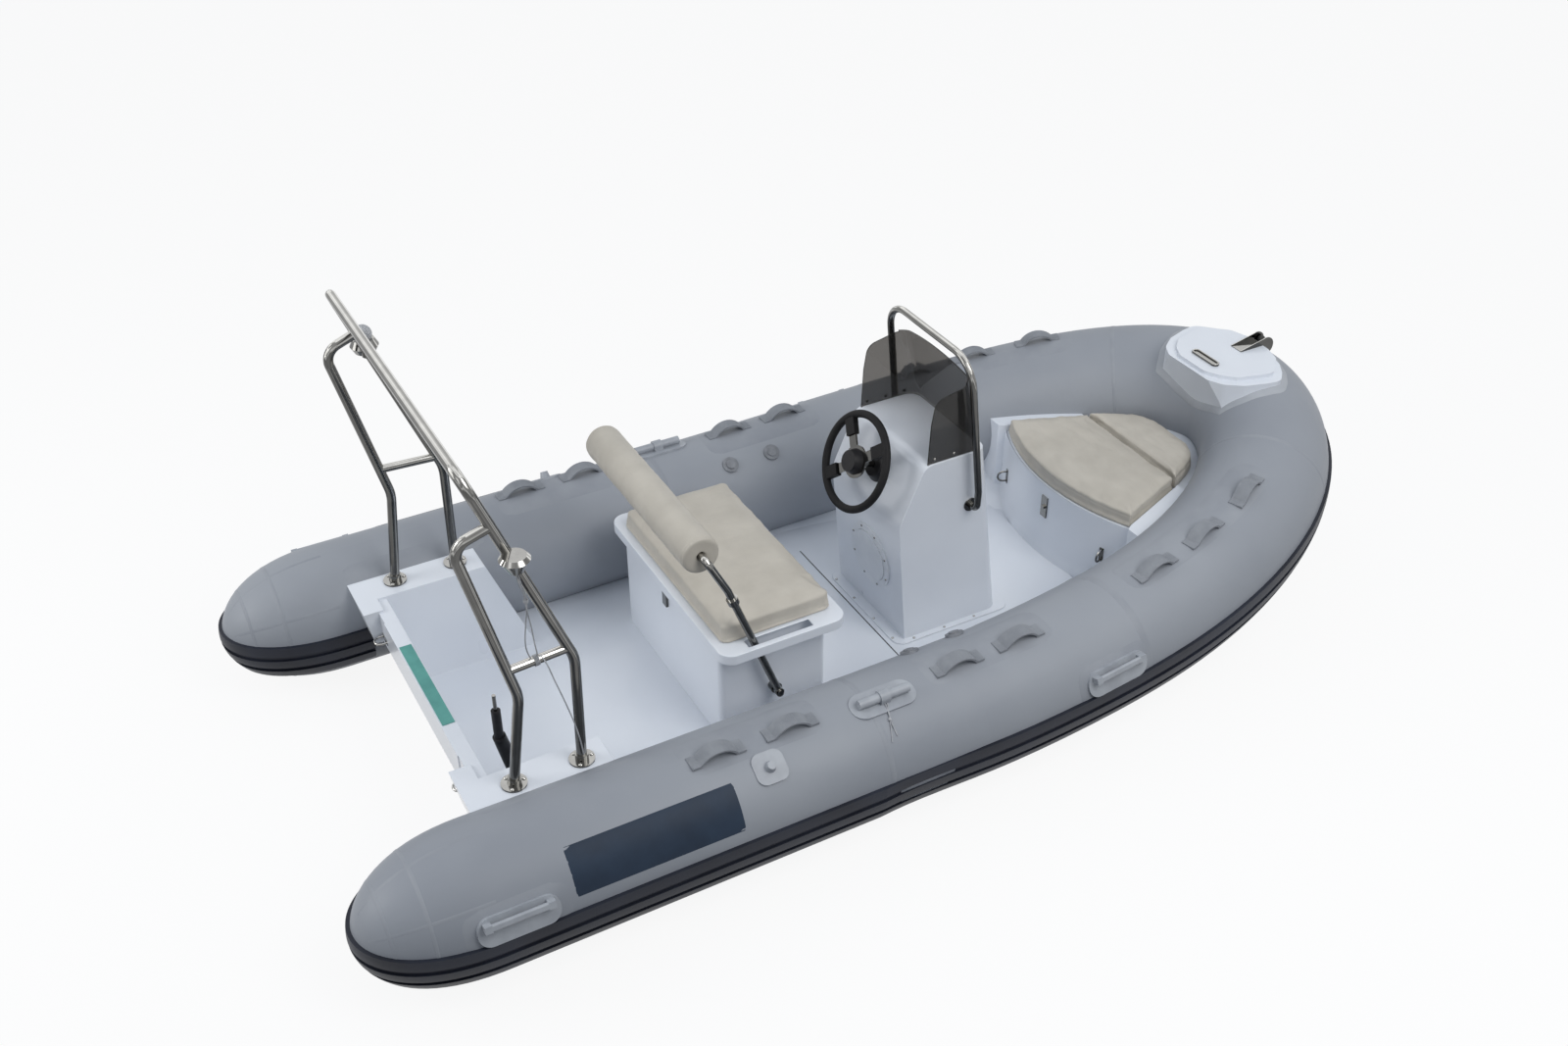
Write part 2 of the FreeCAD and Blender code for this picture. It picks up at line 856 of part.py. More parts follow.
def transom_pad():
    """Soft strip along the top of the transom bar."""
    middle = transom_thickness / 2
    return box(middle - transom_pad_width / 2, middle + transom_pad_width / 2, -transom_pad_half_length,
               transom_pad_half_length, transom_height, transom_height + transom_pad_thickness)


def u_bolt(centre, outward, sideways, width, reach, bar_radius, plate_thickness):
    """U-shaped eye standing out of a backing plate."""
    half = width / 2 - bar_radius
    base = [centre - sideways * half, centre + sideways * half]
    tips = [point + outward * (reach - bar_radius) for point in base]
    bar = round_bar([base[0], tips[0], tips[1], base[1]], [half * eye_bend_share, half * eye_bend_share], bar_radius)
    across = outward.cross(sideways)
    plate_half = eye_plate_share * bar_radius
    corners = [centre + sideways * (end * (half + plate_half)) + across * (rise * plate_half)
               for end, rise in ((-1, -1), (1, -1), (1, 1), (-1, 1))]
    plate = flat(corners).extrude(outward * plate_thickness)
    return fused([bar, plate])


def towing_eyes():
    """Two U-eyes on the aft face of the transom."""
    eye = u_bolt(at(towing_eye_plate, towing_eye_across, towing_eye_height), Vector(-1, 0, 0), Vector(0, 1, 0),
                 towing_eye_width, towing_eye_reach, towing_eye_radius, towing_eye_plate)
    return Part.makeCompound([eye, mirrored(eye)])


def locker_curve_radius():
    """Radius in plan of the locker's aft face, through its middle and its two corners."""
    sagitta = locker_corner - locker_aft
    return (locker_half_width ** 2 + sagitta ** 2) / (2 * sagitta)


def locker_turned(profile):
    """Solid turned about the upright centre of the locker's curved aft face."""
    centre = locker_aft + locker_curve_radius()
    face = flat([at(station, 0, height) for station, height in profile])
    face.rotate(at(centre, 0, 0), Vector(0, 0, 1), -90)
    return face.revolve(at(centre, 0, 0), Vector(0, 0, 1), 180)


def locker_block():
    """Outer form of the bow locker with its curved face and flared foot."""
    centre = locker_aft + locker_curve_radius()
    bottom = sole_height - sole_thickness
    profile = [(locker_aft, locker_height), (locker_aft, locker_kick_height),
               (locker_foot_aft, sole_height), (locker_foot_aft, bottom), (centre, bottom), (centre, locker_height)]
    turned = locker_turned(profile)
    limits = box(locker_foot_aft - overrun, locker_front, -tube_half_spacing, tube_half_spacing,
                 bottom, locker_height)
    return turned.common(limits)


def aft_pad_prism(bottom, top, grow):
    """Upright block in the outline of the aft pad, grown all round."""
    outline = both_hands([(pad_corner, pad_corner_half_width + grow),
                          (pad_fold + grow, pad_fold_half_width + grow)])
    trapezium = plan_block(outline, bottom, top)
    radius = locker_curve_radius() + grow - pad_aft_inset
    disc = Part.makeCylinder(radius, top - bottom, at(locker_aft + locker_curve_radius(), 0, bottom))
    wide = plan_block(both_hands([(locker_aft - 2 * overrun - grow, pad_corner_half_width + grow),
                                  (pad_corner, pad_corner_half_width + grow)]), bottom, top)
    return fused([trapezium, wide]).common(disc)


def locker_wing():
    """Port shoulder of the locker that rises beside the pads and flares to the tube."""
    low = sole_height - sole_thickness
    inner = pad_corner_half_width + wing_gap
    slope = (pad_corner_half_width - pad_fold_half_width) / (pad_fold - pad_corner)
    inner_front = inner - (wing_front - pad_corner) * slope
    plan = [(pad_corner, inner), (wing_aft, wing_aft_inner + wing_gap), (wing_aft, tube_half_spacing),
            (wing_front, tube_half_spacing), (wing_front, inner_front)]
    wing = plan_block(plan, low, wing_height)
    return wing


def bow_locker(tubes, hull):
    """Locker moulding with its opening and the rebate that the lid lies in."""
    body = locker_block().common(room_above(0))
    wing = locker_wing()
    outer = fused([body, wing, mirrored(wing)]).cut(tubes).cut(hull)
    outer = max(outer.Solids, key=lambda solid: solid.Volume)
    rebate = aft_pad_prism(locker_height - lid_thickness - seat_gap, wing_height + overrun, lid_gap)
    front_rebate = forward_pad_prism(locker_height, wing_height + overrun, lid_gap)
    hollow = aft_pad_prism(sole_height + locker_floor_gap, locker_height + overrun, -locker_opening_inset)
    return outer.cut(rebate).cut(front_rebate).cut(hollow)


def locker_lid():
    """Lid plate under the aft pad."""
    return aft_pad_prism(locker_height - lid_thickness, locker_height, 0)


def softened(pad):
    """A pad with its top edges rounded over."""
    return pad.makeFillet(pad_round, edges_at_height(pad, locker_height + pad_thickness))


def bow_pad_aft():
    """Pad on the locker lid."""
    return softened(aft_pad_prism(locker_height + seat_gap, locker_height + pad_thickness, 0))


def forward_pad_prism(bottom, top, grow):
    """Upright block in the outline of the forward pad, grown all round."""
    outline = both_hands([(pad_fold + pad_gap - grow, pad_fold_half_width + grow),
                          (pad_shoulder, pad_shoulder_half_width + grow),
                          (pad_cheek, pad_cheek_half_width + grow),
                          (pad_nose_side + grow, pad_nose_side_half_width + grow),
                          (pad_nose + grow, pad_nose_half_width)])
    return plan_block(outline, bottom, top)


def bow_pad_forward():
    """Fixed pad ahead of the lid, with the welt of the fold that the lid and its pad turn about."""
    top = locker_height + pad_thickness
    pad = forward_pad_prism(locker_height + seat_gap, top, 0)
    ahead_of_fold = pad_fold + pad_gap + seat_gap - amidships
    outer_edges = [edge for edge in edges_at_height(pad, top) if edge.BoundBox.XMax > ahead_of_fold]
    axis = at(pad_fold + pad_gap / 2, 0, top)
    half = Vector(0, pad_fold_half_width - pad_round, 0)
    welt = rod(axis - half, axis + half, pad_welt_radius)
    return fused([pad.makeFillet(pad_round, outer_edges), welt])


def locker_hasp():
    """Over-centre hasp on the locker's aft face."""
    aft = locker_aft - hasp_thickness
    top = locker_height - hasp_top_drop
    plate = box(aft, locker_aft + hasp_thickness, hasp_across - hasp_width / 2, hasp_across + hasp_width / 2,
                top - hasp_height, top)
    knob = Part.makeCylinder(hasp_knob_radius, hasp_knob_height,
                             at(aft - hasp_knob_height + hasp_thickness / 2, hasp_across, top - hasp_height / 2),
                             Vector(1, 0, 0))
    return fused([plate, knob])


def locker_eyes():
    """Two U-eyes on the locker's aft face."""
    radius = locker_curve_radius()
    turn = math.asin(locker_eye_across / radius)
    station = locker_aft + radius * (1 - math.cos(turn))
    outward = Vector(-math.cos(turn), math.sin(turn), 0)
    eye = u_bolt(at(station, locker_eye_across, locker_eye_height), outward, Vector(0, 0, 1),
                 towing_eye_width, towing_eye_reach, towing_eye_radius, towing_eye_plate)
    return Part.makeCompound([eye, mirrored(eye)])


def step_outline(aft_inset, side_inset):
    """Port half of the step's plan outline, moved inwards at the aft end and at the sides."""
    return [(step_aft + aft_inset, step_aft_half_width - side_inset),
            (step_corner + aft_inset, step_corner_half_width - side_inset),
            (step_side, step_side_half_width - side_inset), (step_wide, step_wide_half_width - side_inset),
            (step_lobe, step_lobe_half_width - side_inset), (step_bow, step_bow_half_width - side_inset),
            (step_nose_side, step_nose_side_half_width - side_inset / 2),
            (step_nose, step_nose_half_width - side_inset / 2)]


def rounded_plan_block(half, bottom, top, corner_radius):
    """Upright block on a plan outline, with every upright corner rounded."""
    block = plan_block(both_hands(half), bottom, top)
    return block.makeFillet(corner_radius, upright_edges(block, (top - bottom) / 2))


def bow_step(tubes):
    """Moulded step that saddles the bow tube, undercut at its aft end, with a raised plateau."""
    saddle = rounded_plan_block(step_outline(0, 0), step_bottom, step_top, step_round)
    undercut = side_block([(step_aft - overrun, step_top), (step_aft, step_top),
                           (step_aft + step_undercut, step_bottom), (step_aft - overrun, step_bottom)],
                          -step_wide_half_width, step_wide_half_width)
    saddle = saddle.cut(undercut)
    top = step_top + step_plateau_height
    plateau = rounded_plan_block(step_outline(step_plateau_aft_inset, step_plateau_side_inset),
                                 step_top - step_plateau_height, top, step_plateau_round)
    return fused([saddle, plateau]).cut(tubes)


def roller_channel(step, tubes):
    """Stainless channel let into the step, its cheeks rounded at the front, with the roller's pin."""
    top = step_top + step_plateau_height
    half = roller_channel_width / 2
    cheek_top = roller_cheek_height + roller_cheek_radius
    rise = side_block([(roller_channel_aft, top), (roller_channel_aft, top + roller_channel_aft_height),
                       (roller_cheek_station, cheek_top), (roller_cheek_station, top)], -half, half)
    nose = Part.makeCylinder(roller_cheek_radius, roller_channel_width,
                             at(roller_cheek_station, -half, roller_cheek_height), Vector(0, 1, 0))
    inner = half - roller_channel_wall
    trough = box(roller_channel_aft - overrun, step_nose, -inner, inner, top + roller_channel_wall,
                 cheek_top + overrun)
    mouth = box(step_nose, roller_cheek_station + roller_cheek_radius + overrun, -inner, inner,
                roller_cheek_height - roller_cheek_radius - overrun, cheek_top + overrun)
    channel = fused([rise, nose]).cut([trough, mouth]).cut([step] + tubes)
    return fused([channel, roller_pin()])


def roller_centre():
    """Middle of the roller's pin."""
    return at(roller_pin_station, 0, roller_pin_height)


def roller_pin():
    """Pin across the cheeks of the channel."""
    half = Vector(0, roller_channel_width / 2, 0)
    return rod(roller_centre() - half, roller_centre() + half, roller_pin_radius)


def anchor_roller():
    """Roller that turns on the pin, waisted in the middle."""
    half = Vector(0, roller_channel_width / 2 - roller_channel_wall - roller_side_gap, 0)
    body = rod(roller_centre() - half, roller_centre() + half, roller_radius)
    bore = rod(roller_centre() - half * 2, roller_centre() + half * 2, roller_pin_radius + seat_gap)
    waist = Part.makeTorus(roller_radius + roller_radius, roller_radius + roller_gap, roller_centre(), half)
    return body.cut(bore).cut(waist)


def stadium(centre, straight, radius):
    """Closed line of two straight runs athwart and two half circles."""
    half = Vector(0, straight, 0)
    out = Vector(radius, 0, 0)
    tip = Vector(0, straight + radius, 0)
    return Part.Wire([Part.makeLine(centre + out - half, centre + out + half),
                      Part.Arc(centre + out + half, centre + tip, centre - out + half).toShape(),
                      Part.makeLine(centre - out + half, centre - out - half),
                      Part.Arc(centre - out - half, centre - tip, centre + out - half).toShape()])


def folding_cleat():
    """Oval base with a low ring that folds flat, athwart on the step."""
    top = step_top + step_plateau_height
    half_width = cleat_width / 2
    straight = cleat_length / 2 - half_width
    base = Part.Face(stadium(at(cleat_station, 0, top), straight, half_width))
    base = base.extrude(Vector(0, 0, cleat_thickness))
    inner = half_width - cleat_ring_radius
    middle = at(cleat_station, 0, top + cleat_thickness + cleat_ring_radius - cleat_ring_sink)
    section = Part.Wire(Part.makeCircle(cleat_ring_radius, middle + Vector(inner, -straight, 0), Vector(0, 1, 0)))
    ring = stadium(middle, straight, inner).makePipeShell([section], True, False)
    return fused([base, ring])


def stem_eye():
    """U-eye on the stem for towing and winching."""
    keel_low = hull_keel_shares[-3] * keel_depth
    keel_high = hull_keel_shares[-2] * keel_depth
    run = Vector(hull_stations[-2] - hull_stations[-3], 0, keel_high - keel_low).normalize()
    outward = Vector(run.z, 0, -run.x)
    start = at(hull_stations[-3], 0, keel_low)
    length = math.hypot(hull_stations[-2] - hull_stations[-3], keel_high - keel_low)
    centre = start + run * (length * stem_eye_share) - outward * stem_eye_radius
    return u_bolt(centre, outward, run, stem_eye_width, stem_eye_reach, stem_eye_radius, towing_eye_plate)


def console_profile(inset):
    """Side outline of the console, each face moved inwards by the inset."""
    foot = sole_height
    return [(console_aft_foot + inset, foot), (console_dash_low + inset, console_dash_low_height),
            (console_dash_top + inset, console_height - inset), (console_front_top - inset, console_height - inset),
            (console_front_foot - inset, foot)]


def long_edges_between(body, aft, front):
    """Edges of a body's sides that climb and lie wholly between two stations."""
    found = []
    for edge in body.Edges:
        ends = [vertex.Point for vertex in edge.Vertexes]
        if len(ends) == 2:
            stations = [end.x + amidships for end in ends]
            climbs = abs(ends[1].z - ends[0].z) > seat_gap and abs(ends[1].y - ends[0].y) < seat_gap
            if climbs and min(stations) > aft and max(stations) < front:
                found.append(edge)
    return found


def console_form(inset):
    """Console body with rounded crease and corners, as large as the outside less the inset."""
    half_width = console_half_width - inset
    outline = [at(station, -half_width, height) for station, height in console_profile(inset)]
    rounds = [0, console_crease_round - inset, console_top_round - inset, 0, 0]
    body = rounded_prism(outline, rounds, Vector(0, 2 * half_width, 0))
    front = long_edges_between(body, console_front_top - overrun, console_front_foot + overrun)
    return body.makeFillet(console_front_round - inset, front)


def console_shell():
    """Hollow console with its foot flange and the round hole for the hatch."""
    outer = console_form(0)
    inner = console_form(console_wall)
    inner = inner.fuse(inner.translated(Vector(0, 0, -overrun)))
    flange = rounded_box(console_aft_foot - console_flange_width, console_front_foot + console_flange_width,
                         console_half_width + console_flange_width / 2, sole_height,
                         sole_height + console_flange_thickness, console_flange_width)
    shell = fused([outer, flange]).cut(inner)
    return shell.cut(hatch_cylinder(hatch_radius - hatch_ring_width, -console_wall - overrun, overrun))


def console_aft_normal():
    """Outward direction of the console's aft face."""
    run = Vector(console_dash_low - console_aft_foot, 0, console_dash_low_height - sole_height).normalize()
    return Vector(-run.z, 0, run.x)


def hatch_centre():
    """Middle of the inspection hatch on the aft face."""
    share = (hatch_height - sole_height) / (console_dash_low_height - sole_height)
    station = console_aft_foot + (console_dash_low - console_aft_foot) * share
    return at(station, hatch_across, hatch_height)


def hatch_cylinder(radius, start, end):
    """Cylinder square to the aft face, between two distances outwards from it."""
    normal = console_aft_normal()
    return rod(hatch_centre() + normal * start, hatch_centre() + normal * end, radius)


def hatch_ring():
    """Fixed ring of the inspection hatch."""
    ring = hatch_cylinder(hatch_radius, 0, hatch_ring_thickness)
    return ring.cut(hatch_cylinder(hatch_radius - hatch_ring_width, -overrun, overrun))


def hatch_lid():
    """Screw-in lid of the inspection hatch."""
    return hatch_cylinder(hatch_radius - hatch_ring_width - hatch_gap, -console_wall,
                          hatch_lid_thickness)


def shield_front(height):
    """Station of the front pane's outer skin at one height."""
    share = (height - console_height) / (shield_height - console_height)
    return shield_front_foot + (shield_front_top - shield_front_foot) * share


def shield_wall(inset):
    """Solid block up to the windshield's skin, moved inwards by the inset."""
    half = shield_half_width - inset
    round_off = shield_front_round - inset
    aft = shield_aft_foot - 2 * overrun
    wires = []
    for height in (console_height - overrun, shield_height + overrun):
        nose = shield_front(height) - inset
        corners = [at(aft, half, height), at(nose, half, height), at(nose, -half, height), at(aft, -half, height)]
        middle = at(aft, 0, height)
        wires.append(rounded_path([middle] + corners + [middle], [0, round_off, round_off, 0]))
    return Part.makeLoft(wires, True, True)


def windshield(console):
    """Bent windshield with a front pane and two wings, trimmed to the console's top."""
    far = shield_front_foot + 2 * overrun
    low = console_height - overrun
    high = shield_height + overrun
    across = shield_half_width + overrun
    outline = [at(far, -across, low), at(shield_aft_foot, -across, low),
               at(shield_aft_bulge, -across, shield_aft_bulge_height),
               at(shield_aft_top, -across, shield_aft_top_height),
               at(shield_front_top - overrun, -across, shield_corner_height),
               at(shield_front_top - overrun, -across, high), at(far, -across, high)]
    side_view = rounded_prism(outline, [0, 0, 0, shield_aft_round, 0, 0, 0], Vector(0, 2 * across, 0))
    front_view = Part.Wire([
        Part.makeLine(at(0, across, low), at(0, -across, low)),
        Part.makeLine(at(0, -across, low), at(0, -across, shield_corner_height)),
        Part.Arc(at(0, -across, shield_corner_height), at(0, 0, shield_height),
                 at(0, across, shield_corner_height)).toShape(),
        Part.makeLine(at(0, across, shield_corner_height), at(0, across, low))])
    front_view = Part.Face(front_view).extrude(Vector(far, 0, 0))
    return shield_wall(0).cut(shield_wall(shield_thickness)).common(side_view).common(front_view).cut(console)


def console_rail():
    """Stainless hoop over the windshield, on flanges at the console's sides."""
    half = [at(rail_foot_station, console_half_width, rail_foot_height),
            at(rail_foot_station, rail_across, rail_foot_height),
            at(rail_up_station, rail_across, rail_rise_height),
            at(rail_top_station, rail_across - rail_lean, rail_height)]
    path = half + [Vector(point.x, -point.y, point.z) for point in reversed(half)]
    bends = [rail_low_bend, rail_low_bend, rail_bend, rail_bend, rail_low_bend, rail_low_bend]
    hoop = round_bar(path, bends, rail_radius)
    flange = rod(half[0], half[0] + Vector(0, rail_flange_thickness, 0), rail_flange_radius)
    return fused([hoop, flange, mirrored(flange)])


def dash_frame():
    """Lower edge of the dash, the direction up along it, and the direction out of it."""
    low = at(console_dash_low, 0, console_dash_low_height)
    run = at(console_dash_top, 0, console_height) - low
    up_dash = Vector(run).normalize()
    return low, run.Length, up_dash, Vector(-up_dash.z, 0, up_dash.x)


def wheel_axis():
    """Where the steering column leaves the dash, and its direction towards the helmsman."""
    low, length, up_dash, outward = dash_frame()
    return low + up_dash * (length * wheel_dash_share), outward


def helm_bezel():
    """Round bezel of the steering helm on the dash."""
    foot, outward = wheel_axis()
    cone = Part.makeCone(helm_bezel_radius, helm_bezel_front_radius, helm_bezel_thickness, foot, outward)
    bore = rod(foot - outward * overrun, foot + outward * (helm_bezel_thickness + overrun),
               wheel_shaft_radius + helm_shaft_gap)
    return cone.cut(bore)


def wheel_rim():
    """Padded rim of the steering wheel."""
    foot, outward = wheel_axis()
    centre = foot + outward * wheel_stand_off
    return Part.makeTorus(wheel_radius - wheel_rim_radius, wheel_rim_radius, centre, outward)


def wheel_arm(direction, width, thickness, start, end):
    """Flat bar in the wheel's plane from the hub outwards."""
    foot, outward = wheel_axis()
    centre = foot + outward * wheel_stand_off
    sideways = outward.cross(direction)
    near = centre + direction * start - outward * (thickness / 2)
    corners = [near - sideways * (width / 2), near + sideways * (width / 2),
               near + sideways * (width / 2) + direction * (end - start),
               near - sideways * (width / 2) + direction * (end - start)]
    return flat(corners).extrude(outward * thickness)


def wheel_directions():
    """Directions of the three spokes, with the wheel turned a little to port."""
    up_dash = dash_frame()[2]
    turn = math.radians(wheel_turn_deg)
    first = up_dash * math.cos(turn) + Vector(0, 1, 0) * math.sin(turn)
    across = Vector(0, 1, 0) * math.cos(turn) - up_dash * math.sin(turn)
    return [first, across, across * -1]


def wheel_spokes():
    """Bright spoke plate with its hub disc and the column stub."""
    foot, outward = wheel_axis()
    centre = foot + outward * wheel_stand_off
    reach = wheel_radius - 2 * wheel_rim_radius + wheel_arm_sink
    arms = [wheel_arm(direction, wheel_spoke_width, wheel_spoke_thickness, 0, reach)
            for direction in wheel_directions()]
    disc = rod(centre - outward * (wheel_spoke_thickness / 2), centre + outward * (wheel_spoke_thickness / 2),
               wheel_disc_radius)
    shaft = rod(foot, centre, wheel_shaft_radius)
    plate = fused([disc, shaft] + arms)
    return plate.cut(wheel_rim()).cut(wheel_grips())


def wheel_grips():
    """Padded outer ends of the three spokes."""
    reach = wheel_radius - wheel_rim_radius
    grips = [wheel_arm(direction, wheel_grip_width, wheel_grip_thickness,
                       reach * (1 - wheel_grip_share), reach) for direction in wheel_directions()]
    return Part.makeCompound([grip.cut(wheel_rim()) for grip in grips])


def wheel_hub():
    """Round hub pad in front of the spokes."""
    foot, outward = wheel_axis()
    front = foot + outward * (wheel_stand_off + wheel_spoke_thickness / 2)
    return Part.makeCone(wheel_hub_radius, wheel_hub_front_radius, wheel_hub_thickness, front, outward)


def key_switch():
    """Small round ignition switch on the dash, to port below the wheel."""
    foot, outward = wheel_axis()
    up_dash = dash_frame()[2]
    centre = foot + Vector(0, key_switch_across, 0) - up_dash * key_switch_drop
    return rod(centre, centre + outward * key_switch_length, key_switch_radius)


def seat_box():
    """Hollow box under the pilot seat, open at the top."""
    top = seat_lid_top - seat_lid_thickness
    outer = rounded_box(seat_aft, seat_front, seat_half_width, sole_height, top, seat_corner_radius)
    inner = rounded_box(seat_aft + seat_wall, seat_front - seat_wall, seat_half_width - seat_wall,
                        sole_height - overrun, top + overrun, seat_corner_radius - seat_wall)
    return outer.cut(inner).cut(pivot_bolts())


def seat_lid():
    """Lid tray with a turned-down rim and one closed slot per side for the backrest arms."""
    low = seat_lid_top - seat_lid_rim
    outer = rounded_box(seat_lid_aft, seat_lid_front, seat_lid_half_width, low, seat_lid_top,
                        seat_lid_corner_radius)
    inner = rounded_box(seat_lid_aft + seat_lid_thickness, seat_lid_front - seat_lid_thickness,
                        seat_lid_half_width - seat_lid_thickness, low - overrun,
                        seat_lid_top - seat_lid_thickness, seat_lid_corner_radius - seat_lid_thickness)
    slot = box(seat_slot_aft, seat_slot_front, seat_slot_across - seat_slot_width / 2,
               seat_slot_across + seat_slot_width / 2, low, seat_lid_top + overrun)
    return outer.cut(inner).cut(slot).cut(mirrored(slot))


def seat_cushion():
    """Seat cushion on the lid."""
    bottom = seat_lid_top + seat_gap
    top = seat_lid_top + seat_cushion_thickness
    block = rounded_box(seat_cushion_aft, seat_cushion_front, seat_cushion_half_width, bottom, top,
                        seat_cushion_corner_radius)
    return block.makeFillet(seat_cushion_round, edges_at_height(block, top))


def seat_latch():
    """Toggle latch on the aft wall of the seat box, under the lid's rim."""
    top = seat_lid_top - seat_lid_rim - seat_gap
    half = seat_latch_width / 2
    return box(seat_aft - seat_latch_thickness, seat_aft, seat_latch_across - half, seat_latch_across + half,
               top - seat_latch_height, top)


def backrest_frame():
    """Bent stainless tube: up from each pivot, through the lid's slots and in to the roll."""
    centre = at(backrest_pivot_station, seat_slot_across, backrest_pivot_height)
    knee = at(backrest_knee_station, seat_slot_across, backrest_knee_height)
    upward = (knee - centre).normalize()
    path = [centre - upward * backrest_tail, knee, at(backrest_roll_station, seat_slot_across, backrest_roll_height),
            at(backrest_roll_station, backrest_roll_half_length - backrest_arm_sink, backrest_roll_height)]
    arm = round_bar(path, [backrest_bend, backrest_end_bend], backrest_tube_radius)
    half = Vector(0, backrest_tube_radius, 0)
    boss = rod(centre - half, centre + half, backrest_boss_radius)
    clip_start = centre + (knee - centre) * backrest_clip_share
    clip = rod(clip_start - upward * backrest_clip_length, clip_start, backrest_clip_radius)
    bore = rod(centre - half * 2, centre + half * 2, pivot_bolt_radius + pivot_bolt_gap)
    arm = fused([arm, boss, clip]).cut(bore)
    return Part.makeCompound([arm, mirrored(arm)])


def backrest_roll():
    """Padded roll between the arms, its ends rounded over."""
    start = at(backrest_roll_station, -backrest_roll_half_length, backrest_roll_height)
    end = at(backrest_roll_station, backrest_roll_half_length, backrest_roll_height)
    roll = rod(start, end, backrest_roll_radius)
    roll = roll.makeFillet(roll_end_round, [edge for edge in roll.Edges if len(edge.Vertexes) == 1])
    return roll.cut(backrest_frame())


def pivot_bolts():
    """Bolts on the box's sides that the backrest arms turn on."""
    inner = at(backrest_pivot_station, seat_half_width - seat_wall, backrest_pivot_height)
    arm_inner = seat_slot_across - backrest_tube_radius
    arm_outer = seat_slot_across + backrest_tube_radius
    shank = rod(inner, at(backrest_pivot_station, arm_outer + seat_gap, backrest_pivot_height), pivot_bolt_radius)
    spacer = rod(at(backrest_pivot_station, seat_half_width, backrest_pivot_height),
                 at(backrest_pivot_station, arm_inner - pivot_bolt_gap, backrest_pivot_height), pivot_boss_radius)
    head_start = at(backrest_pivot_station, arm_outer + pivot_bolt_gap, backrest_pivot_height)
    head = rod(head_start, head_start + Vector(0, pivot_bolt_head_height, 0), pivot_bolt_head_radius)
    link = rod(at(backrest_pivot_station, arm_outer, backrest_pivot_height), head_start, pivot_bolt_radius)
    bolt = fused([shank, spacer, head, link])
    return Part.makeCompound([bolt, mirrored(bolt)])


def arch_front_points():
    """Corners of the port half of the forward hoop."""
    return [at(arch_front_foot, arch_foot_across, platform_height),
            at(arch_front_knee, arch_front_knee_across, arch_front_knee_height),
            at(arch_top_station, arch_top_across, arch_top_height)]


def above_platforms(shape):
    """A leg trimmed flush with the platforms that it stands on."""
    return shape.cut(box(-overrun, platform_front, -tube_half_spacing, tube_half_spacing,
                         platform_height - 3 * arch_radius, platform_height))


def foot_below(foot, next_point):
    """Where a leaning leg would reach a little below its foot."""
    return foot - (next_point - foot).normalize() * arch_radius


def arch_hoop():
    """Forward hoop of the arch, one bent tube from foot to foot."""
    half = arch_front_points()
    half[0] = foot_below(half[0], half[1])
    path = half + [Vector(point.x, -point.y, point.z) for point in reversed(half)]
    hoop = round_bar(path, [arch_knee_bend, arch_top_bend, arch_top_bend, arch_knee_bend], arch_radius)
    return above_platforms(hoop)


def arch_aft_points():
    """Foot and knee of the port aft leg."""
    return [at(arch_aft_foot, arch_foot_across, platform_height),
            at(arch_aft_knee, arch_aft_knee_across, arch_aft_knee_height)]


def arch_aft_leg():
    """Port aft leg, bending forward at the top to join the hoop."""
    knee, top = arch_front_points()[1:]
    join = knee + (top - knee) * arch_aft_join_share
    foot, aft_knee = arch_aft_points()
    points = [foot_below(foot, aft_knee), aft_knee, at(arch_aft_top, arch_aft_top_across, arch_aft_top_height), join]
    return above_platforms(round_bar(points, [arch_knee_bend, arch_aft_bend], arch_radius))


def arch_aft_legs(hoop):
    """The two aft legs, coped to the hoop."""
    leg = arch_aft_leg().cut(hoop)
    return Part.makeCompound([leg, mirrored(leg)])


def point_at_height(start, end, height):
    """Point at one height on the line between two points."""
    return start + (end - start) * ((height - start.z) / (end.z - start.z))


def arch_braces(hoop, legs):
    """Short level tube between the legs of each side."""
    knee, top = arch_front_points()[1:]
    front = point_at_height(knee, top, brace_height)
    aft_knee = arch_aft_points()[1]
    aft_top = at(arch_aft_top, arch_aft_top_across, arch_aft_top_height)
    brace = rod(point_at_height(aft_knee, aft_top, brace_height), front, brace_radius).cut([hoop, legs])
    pieces = sorted(brace.Solids, key=lambda solid: solid.Volume)
    return Part.makeCompound([pieces[-1], mirrored(pieces[-1])])


def arch_flange(foot, next_point, legs):
    """Round foot flange with its neck and screw holes."""
    up = Vector(0, 0, 1)
    lean = (next_point - foot).normalize()
    plate = rod(foot, foot + up * flange_thickness, flange_radius)
    neck = rod(foot - lean * flange_neck_height, foot + lean * flange_neck_height, flange_neck_radius)
    floor = Part.makeCylinder(2 * flange_radius, 2 * flange_neck_height, foot)
    flange = fused([plate, neck]).common(floor)
    screws = []
    for count in range(flange_screws):
        turn = 2 * math.pi * count / flange_screws
        place = foot + Vector(math.cos(turn), math.sin(turn), 0) * (flange_radius * flange_screw_share)
        screws.append(rod(place - up * overrun, place + up * overrun, flange_screw_radius))
    return flange.cut([legs] + screws)


def arch_flanges(hoop, legs):
    """Four foot flanges."""
    front = arch_front_points()
    aft = arch_aft_points()
    flanges = [arch_flange(front[0], front[1], hoop), arch_flange(aft[0], aft[1], legs)]
    return Part.makeCompound(flanges + [mirrored(flange) for flange in flanges])


def lamp_axis(height):
    """Centre of the hoop's port leg at a height, and the lamp's foot outboard of it."""
    knee, top = arch_front_points()[1:]
    centre = point_at_height(knee, top, height)
    return centre, centre + Vector(0, lamp_stand_off, 0)


